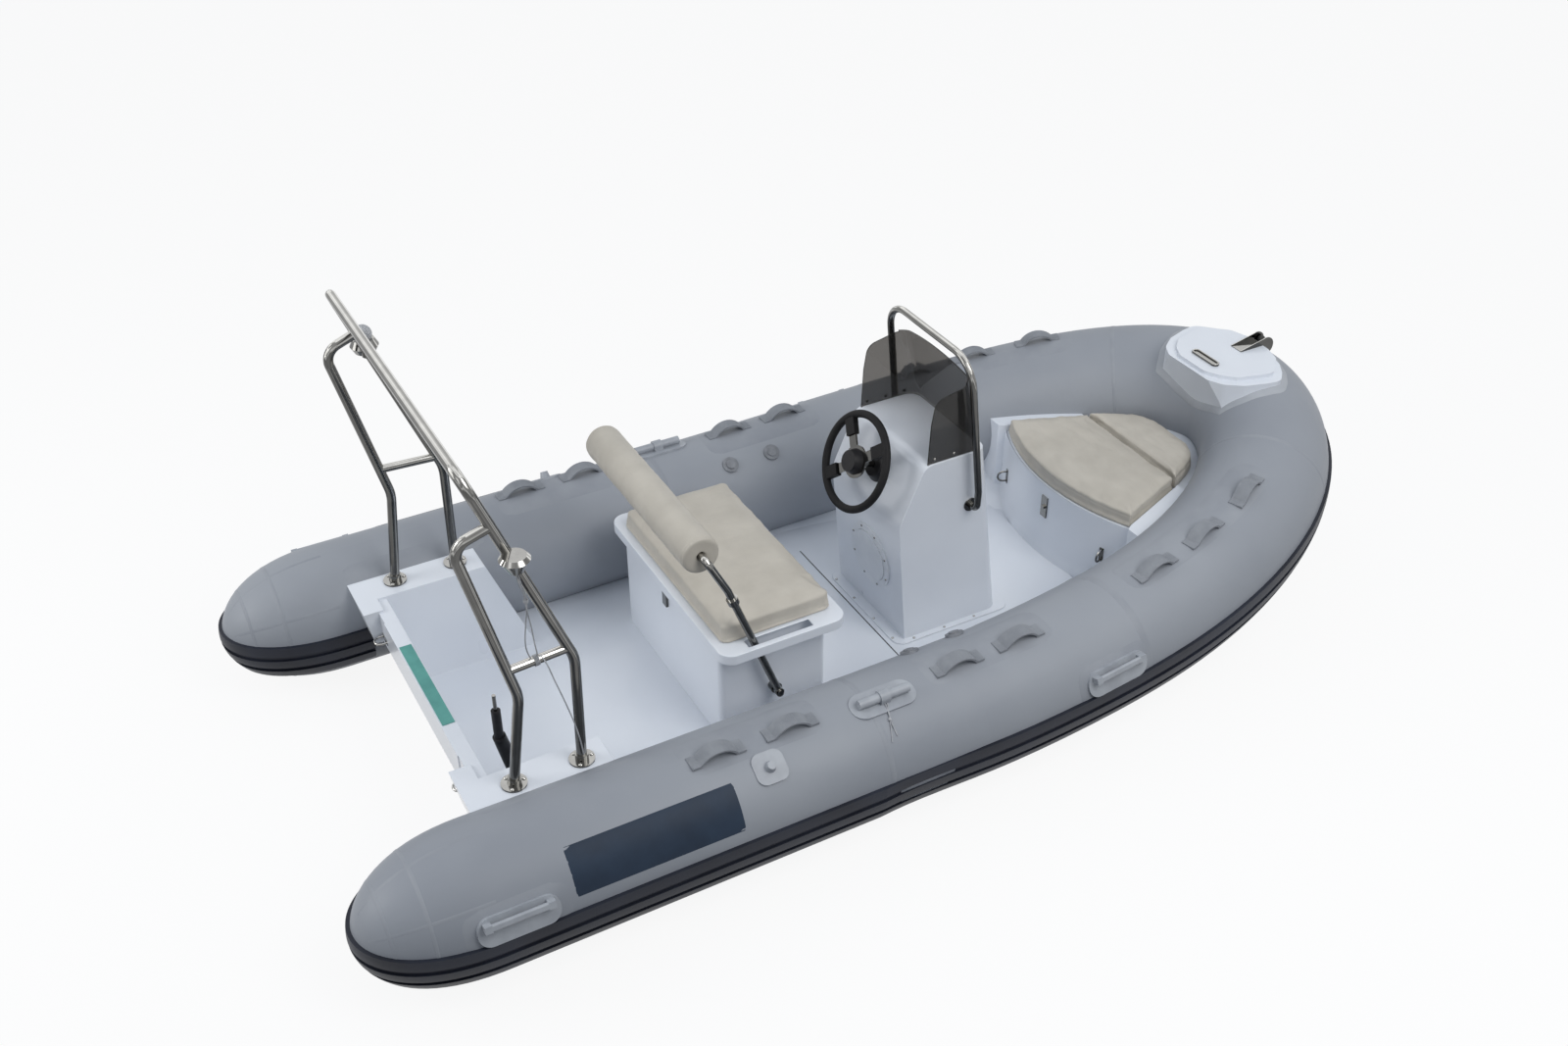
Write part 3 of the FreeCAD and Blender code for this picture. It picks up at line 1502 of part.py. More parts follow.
def lamp_clamp(centre, foot):
    """Clamp round the leg with a short arm out to the lamp."""
    half = Vector(0, 0, lamp_clamp_height / 2)
    ring = rod(centre - half, centre + half, lamp_clamp_radius)
    arm = rod(centre, foot, lamp_clamp_height / 2)
    return fused([ring, arm])


def lamp_with_globe(hoop):
    """All-round lamp: a round cup with a white globe."""
    centre, foot = lamp_axis(lamp_port_height)
    up = Vector(0, 0, 1)
    base = foot - up * (lamp_clamp_height / 2)
    cup = Part.makeCone(lamp_cup_foot_radius, lamp_cup_radius, lamp_cup_height / 2, base)
    rim = Part.makeCone(lamp_cup_radius, lamp_globe_radius + lamp_rim_thickness, lamp_cup_height / 2,
                        base + up * (lamp_cup_height / 2))
    globe = Part.makeSphere(lamp_globe_radius, base + up * (lamp_cup_height + lamp_globe_rise))
    return fused([lamp_clamp(centre, foot), cup, rim, globe]).cut(hoop)


def lamp_bare(hoop):
    """Second lamp: a shallow cap on a bowl that tapers to its wires."""
    centre, foot = lamp_axis(lamp_starboard_height)
    up = Vector(0, 0, 1)
    bowl = Part.makeCone(lamp_tail_radius, lamp_cap_radius, lamp_tail_height, foot - up * (lamp_tail_height / 2))
    cap = Part.makeCone(lamp_cap_radius, lamp_cup_foot_radius, lamp_cap_height, foot + up * (lamp_tail_height / 2))
    return mirrored(fused([lamp_clamp(centre, foot), bowl, cap])).cut(hoop)


def rigging_boot():
    """Ribbed boot that leans aft from its flange on the sole of the stern well."""
    foot = at(boot_station, boot_across, sole_height)
    neck_foot = at(boot_neck_station, boot_across, boot_sleeve_top)
    base = Part.makeCylinder(boot_base_radius, boot_base_thickness, foot)
    lean = neck_foot - foot
    sleeve = Part.makeCone(boot_sleeve_foot_radius, boot_sleeve_radius, lean.Length, foot, lean)
    sleeve = sleeve.cut(Part.makeCylinder(2 * boot_base_radius, overrun, foot - Vector(0, 0, overrun)))
    neck = rod(neck_foot - Vector(0, 0, boot_neck_radius), at(boot_neck_station, boot_across, boot_neck_top),
               boot_neck_radius)
    return fused([base, sleeve, neck])


def cable_end():
    """Metal end of the steering cable above the boot."""
    return Part.makeCylinder(boot_tip_radius, boot_tip_top - boot_neck_top,
                             at(boot_neck_station, boot_across, boot_neck_top))


def write(node, shape):
    """Save one sub-part as its own STEP file."""
    if not shape.isValid():
        print("not valid:", node)
    shape.exportStep("parts/" + node + ".step")
    size = shape.BoundBox
    print(f"{node}: {len(shape.Solids)} solids, {size.XLength:.0f} x {size.YLength:.0f} x {size.ZLength:.0f}")


def write_pair(name, shape):
    """Save a port sub-part and its starboard mirror image."""
    write(name + "_port", shape)
    write(name + "_starboard", mirrored(shape))


def main():
    os.makedirs("parts", exist_ok=True)
    side = side_tube()
    bow = bow_tube()
    tubes = [side, mirrored(side), bow]
    write_pair("tube", side)
    write("tube_bow", bow)
    port_tubes = [side, bow]
    port_strake = strake().cut(port_tubes)
    write_pair("strake", port_strake)
    write_pair("grab_straps", tube_fittings(grab_strap, strap_stations + strap_bow_places, strap_angle_deg,
                                            port_tubes))
    write_pair("carry_handles", tube_fittings(carry_handle, handle_stations, handle_angle_deg,
                                              port_tubes + [port_strake]))
    write_pair("oar_lock", tube_fittings(oar_lock, [lock_station], lock_angle_deg, port_tubes))
    write_pair("oar_knob", tube_fittings(oar_knob, [knob_station], knob_angle_deg, port_tubes))
    write_pair("valves", tube_fittings(valve, valve_stations, valve_angle_deg, port_tubes))

    hull = hull_block().cut(tubes).cut(room_above(sole_height - sole_thickness)).cut(rake_wedge())
    deck_moulding = deck(tubes)
    write("hull", hull)
    write("deck", deck_moulding.cut(locker_block()))
    write("transom_pad", transom_pad())
    write("towing_eyes", towing_eyes().cut(deck_moulding))
    locker = bow_locker(tubes, hull)
    write("bow_locker", locker)
    write("locker_lid", locker_lid())
    write("bow_pad_aft", bow_pad_aft())
    write("bow_pad_forward", bow_pad_forward())
    write("locker_hasp", locker_hasp().cut(locker))
    write("locker_eyes", locker_eyes().cut(locker))
    step = bow_step(tubes)
    write("bow_step", step)
    write("roller_channel", roller_channel(step, tubes))
    write("anchor_roller", anchor_roller())
    write("folding_cleat", folding_cleat())
    write("stem_eye", stem_eye().cut(hull))

    write("console", console_shell())
    write("hatch_ring", hatch_ring())
    write("hatch_lid", hatch_lid())
    write("windshield", windshield(console_form(0)))
    write("console_rail", console_rail())
    write("helm_bezel", helm_bezel())
    write("wheel_rim", wheel_rim())
    write("wheel_spokes", wheel_spokes())
    write("wheel_grips", wheel_grips())
    write("wheel_hub", wheel_hub())
    write("key_switch", key_switch())

    write("seat_box", seat_box())
    write("seat_lid", seat_lid())
    write("seat_cushion", seat_cushion())
    write("seat_latch", seat_latch())
    write("backrest_frame", backrest_frame())
    write("backrest_roll", backrest_roll())
    write("pivot_bolts", pivot_bolts())

    hoop = arch_hoop()
    legs = arch_aft_legs(hoop)
    write("arch_hoop", hoop)
    write("arch_aft_legs", legs)
    write("arch_braces", arch_braces(hoop, legs))
    write("arch_flanges", arch_flanges(hoop, legs))
    write("lamp_port", lamp_with_globe(hoop))
    write("lamp_starboard", lamp_bare(hoop))
    write("rigging_boot", rigging_boot())
    write("cable_end", cable_end())


main()
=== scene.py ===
# %% [markdown]
# # Dressing a rigid inflatable boat
#
# The boat comes into this file as a fixed frame: every solid is already the right size and in the right
# place, in metres, with X forward, Y to port and Z up. The waterline is the floor. What is left for this file
# is what makes the boat look real: cloth skin with glued tapes, polished gelcoat with soft edges, stuffed
# cushions, bright tube, smoked plastic, screws and wires. Each step explains the real piece first, then how
# it can be made and why this way was taken.

# %% Load the frame
import json
import math

import bmesh
import bpy
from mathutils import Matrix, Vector, noise
from mathutils.bvhtree import BVHTree

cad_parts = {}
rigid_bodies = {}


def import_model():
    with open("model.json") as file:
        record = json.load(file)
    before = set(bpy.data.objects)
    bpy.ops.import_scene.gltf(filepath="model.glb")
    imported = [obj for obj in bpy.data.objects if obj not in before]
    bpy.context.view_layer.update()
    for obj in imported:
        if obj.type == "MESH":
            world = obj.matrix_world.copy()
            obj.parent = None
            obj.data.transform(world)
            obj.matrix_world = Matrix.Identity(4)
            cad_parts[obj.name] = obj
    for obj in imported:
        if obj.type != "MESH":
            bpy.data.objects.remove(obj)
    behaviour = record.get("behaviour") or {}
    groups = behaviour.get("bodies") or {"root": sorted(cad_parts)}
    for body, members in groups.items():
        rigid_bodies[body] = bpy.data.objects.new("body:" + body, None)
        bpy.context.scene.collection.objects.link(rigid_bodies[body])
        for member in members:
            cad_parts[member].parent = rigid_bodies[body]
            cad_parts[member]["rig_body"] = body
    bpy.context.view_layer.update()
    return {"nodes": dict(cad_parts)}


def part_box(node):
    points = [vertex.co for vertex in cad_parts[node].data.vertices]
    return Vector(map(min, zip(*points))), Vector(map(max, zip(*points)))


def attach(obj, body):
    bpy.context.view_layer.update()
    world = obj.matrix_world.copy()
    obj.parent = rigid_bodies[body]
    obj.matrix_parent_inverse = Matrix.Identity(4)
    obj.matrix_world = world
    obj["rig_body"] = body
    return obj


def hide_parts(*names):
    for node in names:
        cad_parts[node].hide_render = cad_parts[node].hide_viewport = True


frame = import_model()
nodes = frame["nodes"]

# %% [markdown]
# ## Camera
#
# The camera stands off the starboard quarter, above head height, and looks forward and down along the boat.
# Its lens is a short normal lens, so the near stern looks a little larger than the bow.

# %% Place the camera
def adjust(thing, **settings):
    """Set several settings of one thing."""
    for name, value in settings.items():
        setattr(thing, name, value)


def new_object(name, data):
    """Object with its data, put in the scene."""
    thing = bpy.data.objects.new(name, data)
    bpy.context.scene.collection.objects.link(thing)
    return thing


camera_look = Vector((0.3940, 0.7153, -0.5770))
camera_data = bpy.data.cameras.new("quarter_view")
adjust(camera_data, lens=37.17, sensor_width=36)
camera = new_object("quarter_view", camera_data)
camera.location = (-2.4258, -3.9764, 3.7800)
camera.rotation_euler = camera_look.to_track_quat("-Z", "Y").to_euler()
bpy.context.scene.camera = camera
bpy.context.scene.view_settings.view_transform = "Standard"
print("camera looks along", [round(part, 3) for part in camera_look])

# %% [markdown]
# ## A starting point for every finish
#
# All finishes here start from the same all-round shader. A finish is never one flat colour: real surfaces
# drift between two close tones, and their gloss drifts with them. The helper below mixes two tones with a
# soft noise that is measured in metres, so the drift has a real size on every piece. A bump adds fine relief.

# %% A finish with two tones
def shader_of(material):
    """The all-round shader of a finish."""
    return material.node_tree.nodes["Principled BSDF"]


def feed(node, inputs):
    """Give a node's inputs their values, or link them to outputs of other nodes."""
    for key, value in inputs.items():
        if isinstance(value, bpy.types.NodeSocket):
            node.id_data.links.new(value, node.inputs[key])
        else:
            node.inputs[key].default_value = value
    return node


def add_node(tree, kind, inputs, operation=None):
    """New node of a kind and operation, with its inputs fed."""
    node = tree.nodes.new(kind)
    if operation:
        node.operation = operation
    return feed(node, inputs)


def set_ramp(node, stops):
    """Positions and colours of a colour ramp."""
    elements = node.color_ramp.elements
    while len(elements) < len(stops):
        elements.new(0.5)
    for element, (position, colour) in zip(elements, stops):
        element.position = position
        element.color = (*colour, 1)


drift_low = 0.35
drift_high = 0.65


def new_finish(name, light_tone, dark_tone, patch_size, gloss, metal=0.0):
    """Material whose colour drifts between two tones, and whose roughness drifts between two values."""
    material = bpy.data.materials.new(name)
    material.use_nodes = True
    tree = material.node_tree
    place = add_node(tree, "ShaderNodeTexCoord", {}).outputs["Object"]
    noise_inputs = {"Vector": place, "Scale": 1 / patch_size, "Detail": 3}
    drift = add_node(tree, "ShaderNodeTexNoise", noise_inputs).outputs["Fac"]
    tones = add_node(tree, "ShaderNodeValToRGB", {"Fac": drift})
    set_ramp(tones, ((drift_low, dark_tone), (drift_high, light_tone)))
    spread = add_node(tree, "ShaderNodeMapRange", {"Value": drift, "To Min": gloss[0], "To Max": gloss[1]})
    feed(shader_of(material), {"Metallic": metal, "Base Color": tones.outputs["Color"],
                               "Roughness": spread.outputs["Result"]})
    return material


def add_bump(material, size, height, kind="ShaderNodeTexNoise", stretch=(1, 1, 1)):
    """Fine relief on a finish, with grains of a real size and depth; it stacks on any bump already there."""
    tree = material.node_tree
    shader = shader_of(material)
    place = add_node(tree, "ShaderNodeTexCoord", {}).outputs["Object"]
    stretched = add_node(tree, "ShaderNodeMapping", {"Vector": place, "Scale": stretch}).outputs["Vector"]
    grain = add_node(tree, kind, {"Vector": stretched, "Scale": 1 / size}).outputs[0]
    relief = add_node(tree, "ShaderNodeBump", {"Height": grain, "Strength": 1, "Distance": height})
    if shader.inputs["Normal"].is_linked:
        feed(relief, {"Normal": shader.inputs["Normal"].links[0].from_socket})
    feed(shader, {"Normal": relief.outputs["Normal"]})


# %% [markdown]
# ## Finishes of the inflated parts
#
# The tubes are coated cloth: grey, half matt, with a hint of the weave and long shallow waves where the
# pressure pulls the cloth between its glued seams. The straps, tapes and handles are the same family of
# rubber in slightly different greys, and the rubbing strake is nearly black with a blue cast.

# %% Coated cloth, tape, strap, handle and strake
tube_cloth = new_finish("tube_cloth", (0.322, 0.341, 0.374), (0.284, 0.303, 0.338), 0.55, (0.42, 0.55))
add_bump(tube_cloth, 0.16, 0.0035)
add_bump(tube_cloth, 0.0022, 0.00012)
tape_cloth = new_finish("tape_cloth", (0.318, 0.336, 0.368), (0.280, 0.298, 0.332), 0.12, (0.42, 0.54))
add_bump(tape_cloth, 0.0022, 0.00012)
strap_webbing = new_finish("strap_webbing", (0.305, 0.322, 0.350), (0.250, 0.265, 0.292), 0.05, (0.55, 0.70))
add_bump(strap_webbing, 0.004, 0.0003, "ShaderNodeTexWave")
handle_rubber = new_finish("handle_rubber", (0.400, 0.425, 0.460), (0.330, 0.350, 0.385), 0.06, (0.35, 0.50))
add_bump(handle_rubber, 0.003, 0.0001)
strake_rubber = new_finish("strake_rubber", (0.020, 0.024, 0.038), (0.010, 0.012, 0.020), 0.20, (0.38, 0.55))
add_bump(strake_rubber, 0.004, 0.0002)
for finish in (tube_cloth, tape_cloth, strap_webbing, strake_rubber):
    feed(shader_of(finish), {"Specular IOR Level": 0.30})
print("inflated finishes:", tube_cloth.name, tape_cloth.name, strap_webbing.name, strake_rubber.name)

# %% [markdown]
# ## Gelcoat and the plastics
#
# Gelcoat is a hard glossy skin over a mould, white with a cool cast. It is very smooth, so only its clear top
# layer is glossy while the colour under it stays slightly uneven. A small amount of long-wave relief keeps
# large flat walls from looking like a drawing. The small plastic and rubber pieces start the same way, with
# their own tones, a finer grain and less gloss.

# %% Gelcoat, plastics, rubbers, navy cloth, sealant and wire
gelcoat = new_finish("gelcoat", (0.780, 0.815, 0.870), (0.735, 0.770, 0.830), 0.45, (0.24, 0.34))
add_bump(gelcoat, 0.25, 0.0012)
feed(shader_of(gelcoat), {"Coat Weight": 0.35, "Coat Roughness": 0.08})
white_plastic = new_finish("white_plastic", (0.760, 0.790, 0.830), (0.690, 0.720, 0.765), 0.08, (0.32, 0.42))
add_bump(white_plastic, 0.002, 0.00006)
black_plastic = new_finish("black_plastic", (0.018, 0.018, 0.020), (0.009, 0.009, 0.011), 0.04, (0.32, 0.46))
add_bump(black_plastic, 0.0015, 0.00008)
wheel_foam = new_finish("wheel_foam", (0.010, 0.010, 0.011), (0.005, 0.005, 0.006), 0.03, (0.55, 0.70))
add_bump(wheel_foam, 0.0028, 0.00018, "ShaderNodeTexVoronoi")
roller_rubber = new_finish("roller_rubber", (0.035, 0.034, 0.033), (0.015, 0.015, 0.015), 0.02, (0.45, 0.60))
add_bump(roller_rubber, 0.002, 0.0001)
teal_rubber = new_finish("teal_rubber", (0.105, 0.345, 0.310), (0.080, 0.280, 0.255), 0.06, (0.50, 0.65))
add_bump(teal_rubber, 0.0018, 0.00015)
navy_cloth = new_finish("navy_cloth", (0.020, 0.036, 0.064), (0.014, 0.026, 0.048), 0.10, (0.42, 0.54))
add_bump(navy_cloth, 0.0022, 0.0001)
valve_plastic = new_finish("valve_plastic", (0.240, 0.252, 0.275), (0.175, 0.185, 0.205), 0.02, (0.35, 0.50))
add_bump(valve_plastic, 0.004, 0.0002)
for finish in (navy_cloth, wheel_foam, black_plastic):
    feed(shader_of(finish), {"Specular IOR Level": 0.22})
dark_joint = new_finish("dark_joint", (0.075, 0.080, 0.088), (0.045, 0.048, 0.055), 0.05, (0.60, 0.75))
add_bump(dark_joint, 0.003, 0.0001)
wire_sleeve = new_finish("wire_sleeve", (0.470, 0.480, 0.500), (0.330, 0.340, 0.360), 0.03, (0.40, 0.55))
add_bump(wire_sleeve, 0.002, 0.00005)
print("hard finishes:", gelcoat.name, white_plastic.name, black_plastic.name, teal_rubber.name)

# %% [markdown]
# ## Bright tube
#
# The arch, rail and fittings are polished stainless tube. On the water such a tube shows a bright line of sky
# along its top and the dark ground on its flanks. A plain pale studio has no dark ground to show, so that
# reflection is painted into the metal's colour by the way the surface faces: a painted highlight where it
# looks up, painted dark reflection on the flanks, a little lighter again underneath, and a few uneven painted
# bands that stand in for the reflections of its neighbours.

# %% Stainless tube
bright_tube = new_finish("bright_tube", (1.000, 0.995, 0.980), (0.860, 0.855, 0.845), 0.05, (0.07, 0.15), 1.0)
add_bump(bright_tube, 0.006, 0.00003)
# Size and depth of the uneven painted reflection bands on the stainless tube.
reflection_band_scale = 2.6
reflection_band_depth = 1.5


def paint_reflection_by_slope(material, sky, stops):
    """Multiply a finish by a painted reflection: a grey that depends on how far the surface faces the sky
    direction.
    """
    tree = material.node_tree
    shader = shader_of(material)
    # The grey made here is a painted reflection of sky and ground, set by the way the surface faces and not
    # by any lamp.
    facing = add_node(tree, "ShaderNodeNewGeometry", {}).outputs["Normal"]
    towards = add_node(tree, "ShaderNodeVectorMath", {0: facing, 1: Vector(sky).normalized()}, "DOT_PRODUCT")
    reflection_bands = add_node(tree, "ShaderNodeTexNoise", {"Vector": facing, "Scale": reflection_band_scale, "Detail": 1})
    sum_inputs = {0: reflection_bands.outputs["Fac"], 1: reflection_band_depth, 2: towards.outputs["Value"]}
    uneven = add_node(tree, "ShaderNodeMath", sum_inputs, "MULTIPLY_ADD").outputs["Value"]
    limits = {"From Min": reflection_band_depth / 2 - 1, "From Max": reflection_band_depth / 2 + 1}
    spread = add_node(tree, "ShaderNodeMapRange", {"Value": uneven, **limits})
    reflection_greys = add_node(tree, "ShaderNodeValToRGB", {"Fac": spread.outputs["Result"]})
    set_ramp(reflection_greys, [(position, (grey, grey, grey * 0.98)) for position, grey in stops])
    product = tree.nodes.new("ShaderNodeMix")
    product.data_type = "RGBA"
    product.blend_type = "MULTIPLY"
    before = shader.inputs["Base Color"].links[0].from_socket
    feed(product, {"Factor": 1, "A": before, "B": reflection_greys.outputs["Color"]})
    feed(shader, {"Base Color": product.outputs["Result"]})


# Direction of the painted sky reflection, and the greys that paint the reflection from the flanks up to the
# top.
painted_sky_side = (0.15, 0.20, 1.0)
painted_reflection_greys = [(0.0, 0.28), (0.30, 0.12), (0.46, 0.10), (0.55, 0.44), (0.63, 0.13), (0.78, 0.24), (0.87, 0.92),
             (0.97, 0.36)]
paint_reflection_by_slope(bright_tube, painted_sky_side, painted_reflection_greys)
print("metal finish:", bright_tube.name)

# %% [markdown]
# ## Smoked windshield
#
# The windshield is bent acrylic sheet, tinted so dark that what stands behind it shows only as a shadow.
# Light that crosses the sheet is dimmed twice, once at each face, so the colour is set lighter than it looks.

# %% Smoked acrylic
clear_tone = (0.175, 0.168, 0.160)
smoked_tone = (0.150, 0.144, 0.137)
smoked_acrylic = new_finish("smoked_acrylic", clear_tone, smoked_tone, 0.30, (0.03, 0.06))
feed(shader_of(smoked_acrylic), {"Transmission Weight": 0.92, "IOR": 1.30})
print("windshield finish:", smoked_acrylic.name)

# %% [markdown]
# ## Upholstery vinyl
#
# The cushions are covered in pale sand vinyl with a leather print. The print is made of small cells, and the
# cover is slack in places, so wider shallow folds lie over it. Vinyl is not very glossy.

# %% Sand vinyl
sand_vinyl = new_finish("sand_vinyl", (0.570, 0.532, 0.465), (0.505, 0.470, 0.408), 0.12, (0.42, 0.54))
feed(shader_of(sand_vinyl), {"Specular IOR Level": 0.35})
add_bump(sand_vinyl, 0.055, 0.0030, stretch=(1.0, 0.45, 1.0))
add_bump(sand_vinyl, 0.0030, 0.00022, "ShaderNodeTexVoronoi")
print("upholstery finish:", sand_vinyl.name)

# %% [markdown]
# ## Paint the solids that stay
#
# Most of the boat's hard pieces already have their true shape, so they only take a finish. The list pairs a
# finish with the starts of the names of its solids. The gelcoat mouldings and the cushions are painted too,
# although softer versions stand in for them further on.

# %% Give each solid its finish
name_starts = [
    (tube_cloth, ("tube_",)),
    (strake_rubber, ("strake_",)),
    (strap_webbing, ("grab_straps",)),
    (handle_rubber, ("carry_handles", "oar_lock", "oar_knob")),
    (valve_plastic, ("valves",)),
    (teal_rubber, ("transom_pad",)),
    (sand_vinyl, ("bow_pad", "seat_cushion", "backrest_roll")),
    (smoked_acrylic, ("windshield",)),
    (black_plastic, ("helm_bezel", "wheel_hub", "key_switch", "rigging_boot")),
    (wheel_foam, ("wheel_rim", "wheel_grips")),
    (roller_rubber, ("anchor_roller",)),
    (white_plastic, ("hatch_",)),
    (bright_tube, ("lamp_", "towing_eyes", "locker_eyes", "locker_hasp", "roller_channel", "folding_cleat",
                   "stem_eye", "console_rail", "wheel_spokes", "seat_latch", "backrest_frame", "pivot_bolts",
                   "arch_", "cable_end")),
]


def finish_for(name):
    """Finish of a solid by the start of its name; every other solid is gelcoat."""
    for finish, starts in name_starts:
        if name.startswith(starts):
            return finish
    return gelcoat


for name, solid in nodes.items():
    solid.data.materials.clear()
    solid.data.materials.append(finish_for(name))
print("painted solids:", len(nodes))

# %% [markdown]
# ## Soft edges on the mouldings
#
# Gelcoat can't be laid in a sharp corner, so every edge of a moulding has a small radius that catches a line
# of light. The solids have sharp edges there. A copy of the solid gets flat faces merged, then a narrow bevel
# on its sharp edges, and its shading is weighted towards the big faces so that they still look flat.

# %% Rounded copies of the gelcoat pieces
weld_gap = 0.00005
flat_angle_deg = 0.6
sharp_angle_deg = 28


def add_piece(name, mesh, finish, body):
    """Object from a mesh, painted and riding on a body."""
    piece = new_object(name, mesh)
    mesh.materials.clear()
    mesh.materials.append(finish)
    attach(piece, body)
    return piece


def settle_modifiers(piece):
    """Bake what the modifiers show into the piece's own mesh."""
    seen = piece.evaluated_get(bpy.context.evaluated_depsgraph_get())
    baked = bpy.data.meshes.new_from_object(seen)
    piece.modifiers.clear()
    piece.data = baked


def rounded_copy(node, radius):
    """Copy of a solid with its sharp edges rounded over, which stands in for it."""
    source = nodes[node]
    mesh = source.data.copy()
    work = bmesh.new()
    work.from_mesh(mesh)
    bmesh.ops.remove_doubles(work, verts=work.verts, dist=weld_gap)
    flat_angle = math.radians(flat_angle_deg)
    bmesh.ops.dissolve_limit(work, angle_limit=flat_angle, verts=work.verts, edges=work.edges)
    for face in work.faces:
        face.smooth = True
    work.to_mesh(mesh)
    work.free()
    piece = add_piece(node + "_skin", mesh, source.data.materials[0], source["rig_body"])
    adjust(piece.modifiers.new("edge", "BEVEL"), width=radius, segments=3, limit_method="ANGLE",
           angle_limit=math.radians(sharp_angle_deg), use_clamp_overlap=True, miter_outer="MITER_ARC")
    piece.modifiers.new("weights", "WEIGHTED_NORMAL").keep_sharp = True
    settle_modifiers(piece)
    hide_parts(node)
    return piece


moulding_radii = {"deck": 0.007, "console": 0.006, "seat_box": 0.006, "seat_lid": 0.005, "bow_locker": 0.006,
                  "bow_step": 0.007, "locker_lid": 0.002}
for node, radius in moulding_radii.items():
    skin = rounded_copy(node, radius)
    print(skin.name, "faces", len(skin.data.polygons))

# %% [markdown]
# ## A map of the inflated tube
#
# Tapes, patches and seams lie on a round tube that bends inwards and rises to the bow. To lay anything on it
# there has to be a map: for a station along the tube and an angle round it, where is the skin and which way
# does it face? The tube's centreline is a straight run with one smooth curve ahead of it. The map finds a
# point near the skin from that line, then drops it on the real solid with a ray, so a tape never floats.

# %% Centreline and skin of the tube
amidships = 1.560
tube_radius = 0.225
bow_tube_radius = 0.241
tube_across = 0.761
curve_start = 1.136
curve_length = 2.230
curve_rise = 0.233
plan_fullness = 3.6
plan_hollow = 1.83
rise_power = 2.55
station_step = 0.002
turn_step = 0.004
ray_reach = 1.4


def line_point(station, turn=None):
    """Centre of the port tube at a station, or at a turn of the bow curve from 0 to 1."""
    if turn is None:
        if station <= curve_start:
            return Vector((station - amidships, tube_across, tube_radius))
        turn = math.asin(((station - curve_start) / curve_length) ** (plan_fullness / 2)) / (math.pi / 2)
    along = math.sin(turn * math.pi / 2) ** (2 / plan_fullness)
    across = tube_across * max(math.cos(turn * math.pi / 2), 0) ** (2 / plan_hollow)
    height = tube_radius + curve_rise * along ** rise_power
    return Vector((curve_start + curve_length * along - amidships, across, height))


def line_frame(station, turn=None):
    """Centre, outboard and upward directions, and radius of the port tube at a place."""
    centre = line_point(station, turn)
    if turn is None:
        forward = line_point(station + station_step) - line_point(station - station_step)
    else:
        forward = line_point(0, min(turn + turn_step, 1)) - line_point(0, turn - turn_step)
    forward.normalize()
    outboard = Vector((-forward.y, forward.x, 0)).normalized()
    along = max(0, (centre.x + amidships - curve_start) / curve_length)
    radius = tube_radius + (bow_tube_radius - tube_radius) * along ** 2
    return centre, outboard, forward.cross(outboard).normalized(), radius


def skin_tree(names):
    """Search tree over the skins of several solids."""
    corners, faces = [], []
    for name in names:
        mesh = nodes[name].data
        offset = len(corners)
        corners += [corner.co.copy() for corner in mesh.vertices]
        faces += [[offset + index for index in face.vertices] for face in mesh.polygons]
    return BVHTree.FromPolygons(corners, faces)


tube_skin = {side: skin_tree(["tube_" + side, "tube_bow"]) for side in ("port", "starboard")}


def skin_point(side, station, angle_deg, lift, turn=None):
    """Point on the tube's skin, raised by a lift. The angle starts outboard and grows upwards."""
    centre, outboard, upward, radius = line_frame(station, turn)
    angle = math.radians(angle_deg)
    ray = outboard * math.cos(angle) + upward * math.sin(angle)
    if side == "starboard":
        centre, ray = Vector((centre.x, -centre.y, centre.z)), Vector((ray.x, -ray.y, ray.z))
    far = radius * ray_reach
    hit = tube_skin[side].ray_cast(centre + ray * far, -ray, far)[0]
    if hit is None:
        hit = centre + ray * radius
    return hit + ray * lift


print("skin at the middle, port:", [round(part, 3) for part in skin_point("port", 0.8, 90, 0)])

# %% [markdown]
# ## Tapes and patches
#
# Wherever a strap, handle or lock is glued to the tube there is a doubling patch under it, a millimetre or so
# thick with rounded ends. A patch is a grid of points laid on the map: across its width the grid gets shorter
# towards the sides, which rounds the corners. The rim is turned down to the skin, so it casts a thin line.

# %% Lay a patch on the tube
rim_lift = 0.0001
patch_thick = 0.0014
patch_row = 0.012
patch_column = 0.02
fewest_squares = 6


def finished_piece(name, work, finish):
    """Piece of the boat from a net that is still being worked on; the net is put away."""
    mesh = bpy.data.meshes.new(name)
    work.to_mesh(mesh)
    work.free()
    return add_piece(name, mesh, finish, "boat")


def tube_patch(name, side, span, angles, finish, corner):
    """Doubling patch over a span of stations and angles on one tube, with rounded corners."""
    low, high = angles
    width = math.radians(high - low) * tube_radius
    rows = max(fewest_squares, int(width / patch_row))
    columns = max(fewest_squares, int((span[1] - span[0]) / patch_column))
    work = bmesh.new()
    grid = []
    for row in range(rows + 1):
        place = row / rows * width
        edge = min(place, width - place)
        reach = min(corner, width / 2)
        inset = 0 if edge >= reach else reach - math.sqrt(max(reach ** 2 - (reach - edge) ** 2, 0))
        rim = row in (0, rows)
        line = []
        for column in range(columns + 1):
            share = column / columns
            station = span[0] + inset + share * (span[1] - span[0] - 2 * inset)
            lift = rim_lift if rim or column in (0, columns) else patch_thick
            line.append(work.verts.new(skin_point(side, station, low + (high - low) * row / rows, lift)))
        grid.append(line)
    for row in range(rows):
        for column in range(columns):
            near, far = grid[row], grid[row + 1]
            corners = [near[column], near[column + 1], far[column + 1], far[column]]
            work.faces.new(corners if side == "starboard" else corners[::-1]).smooth = True
    return finished_piece(name, work, finish)


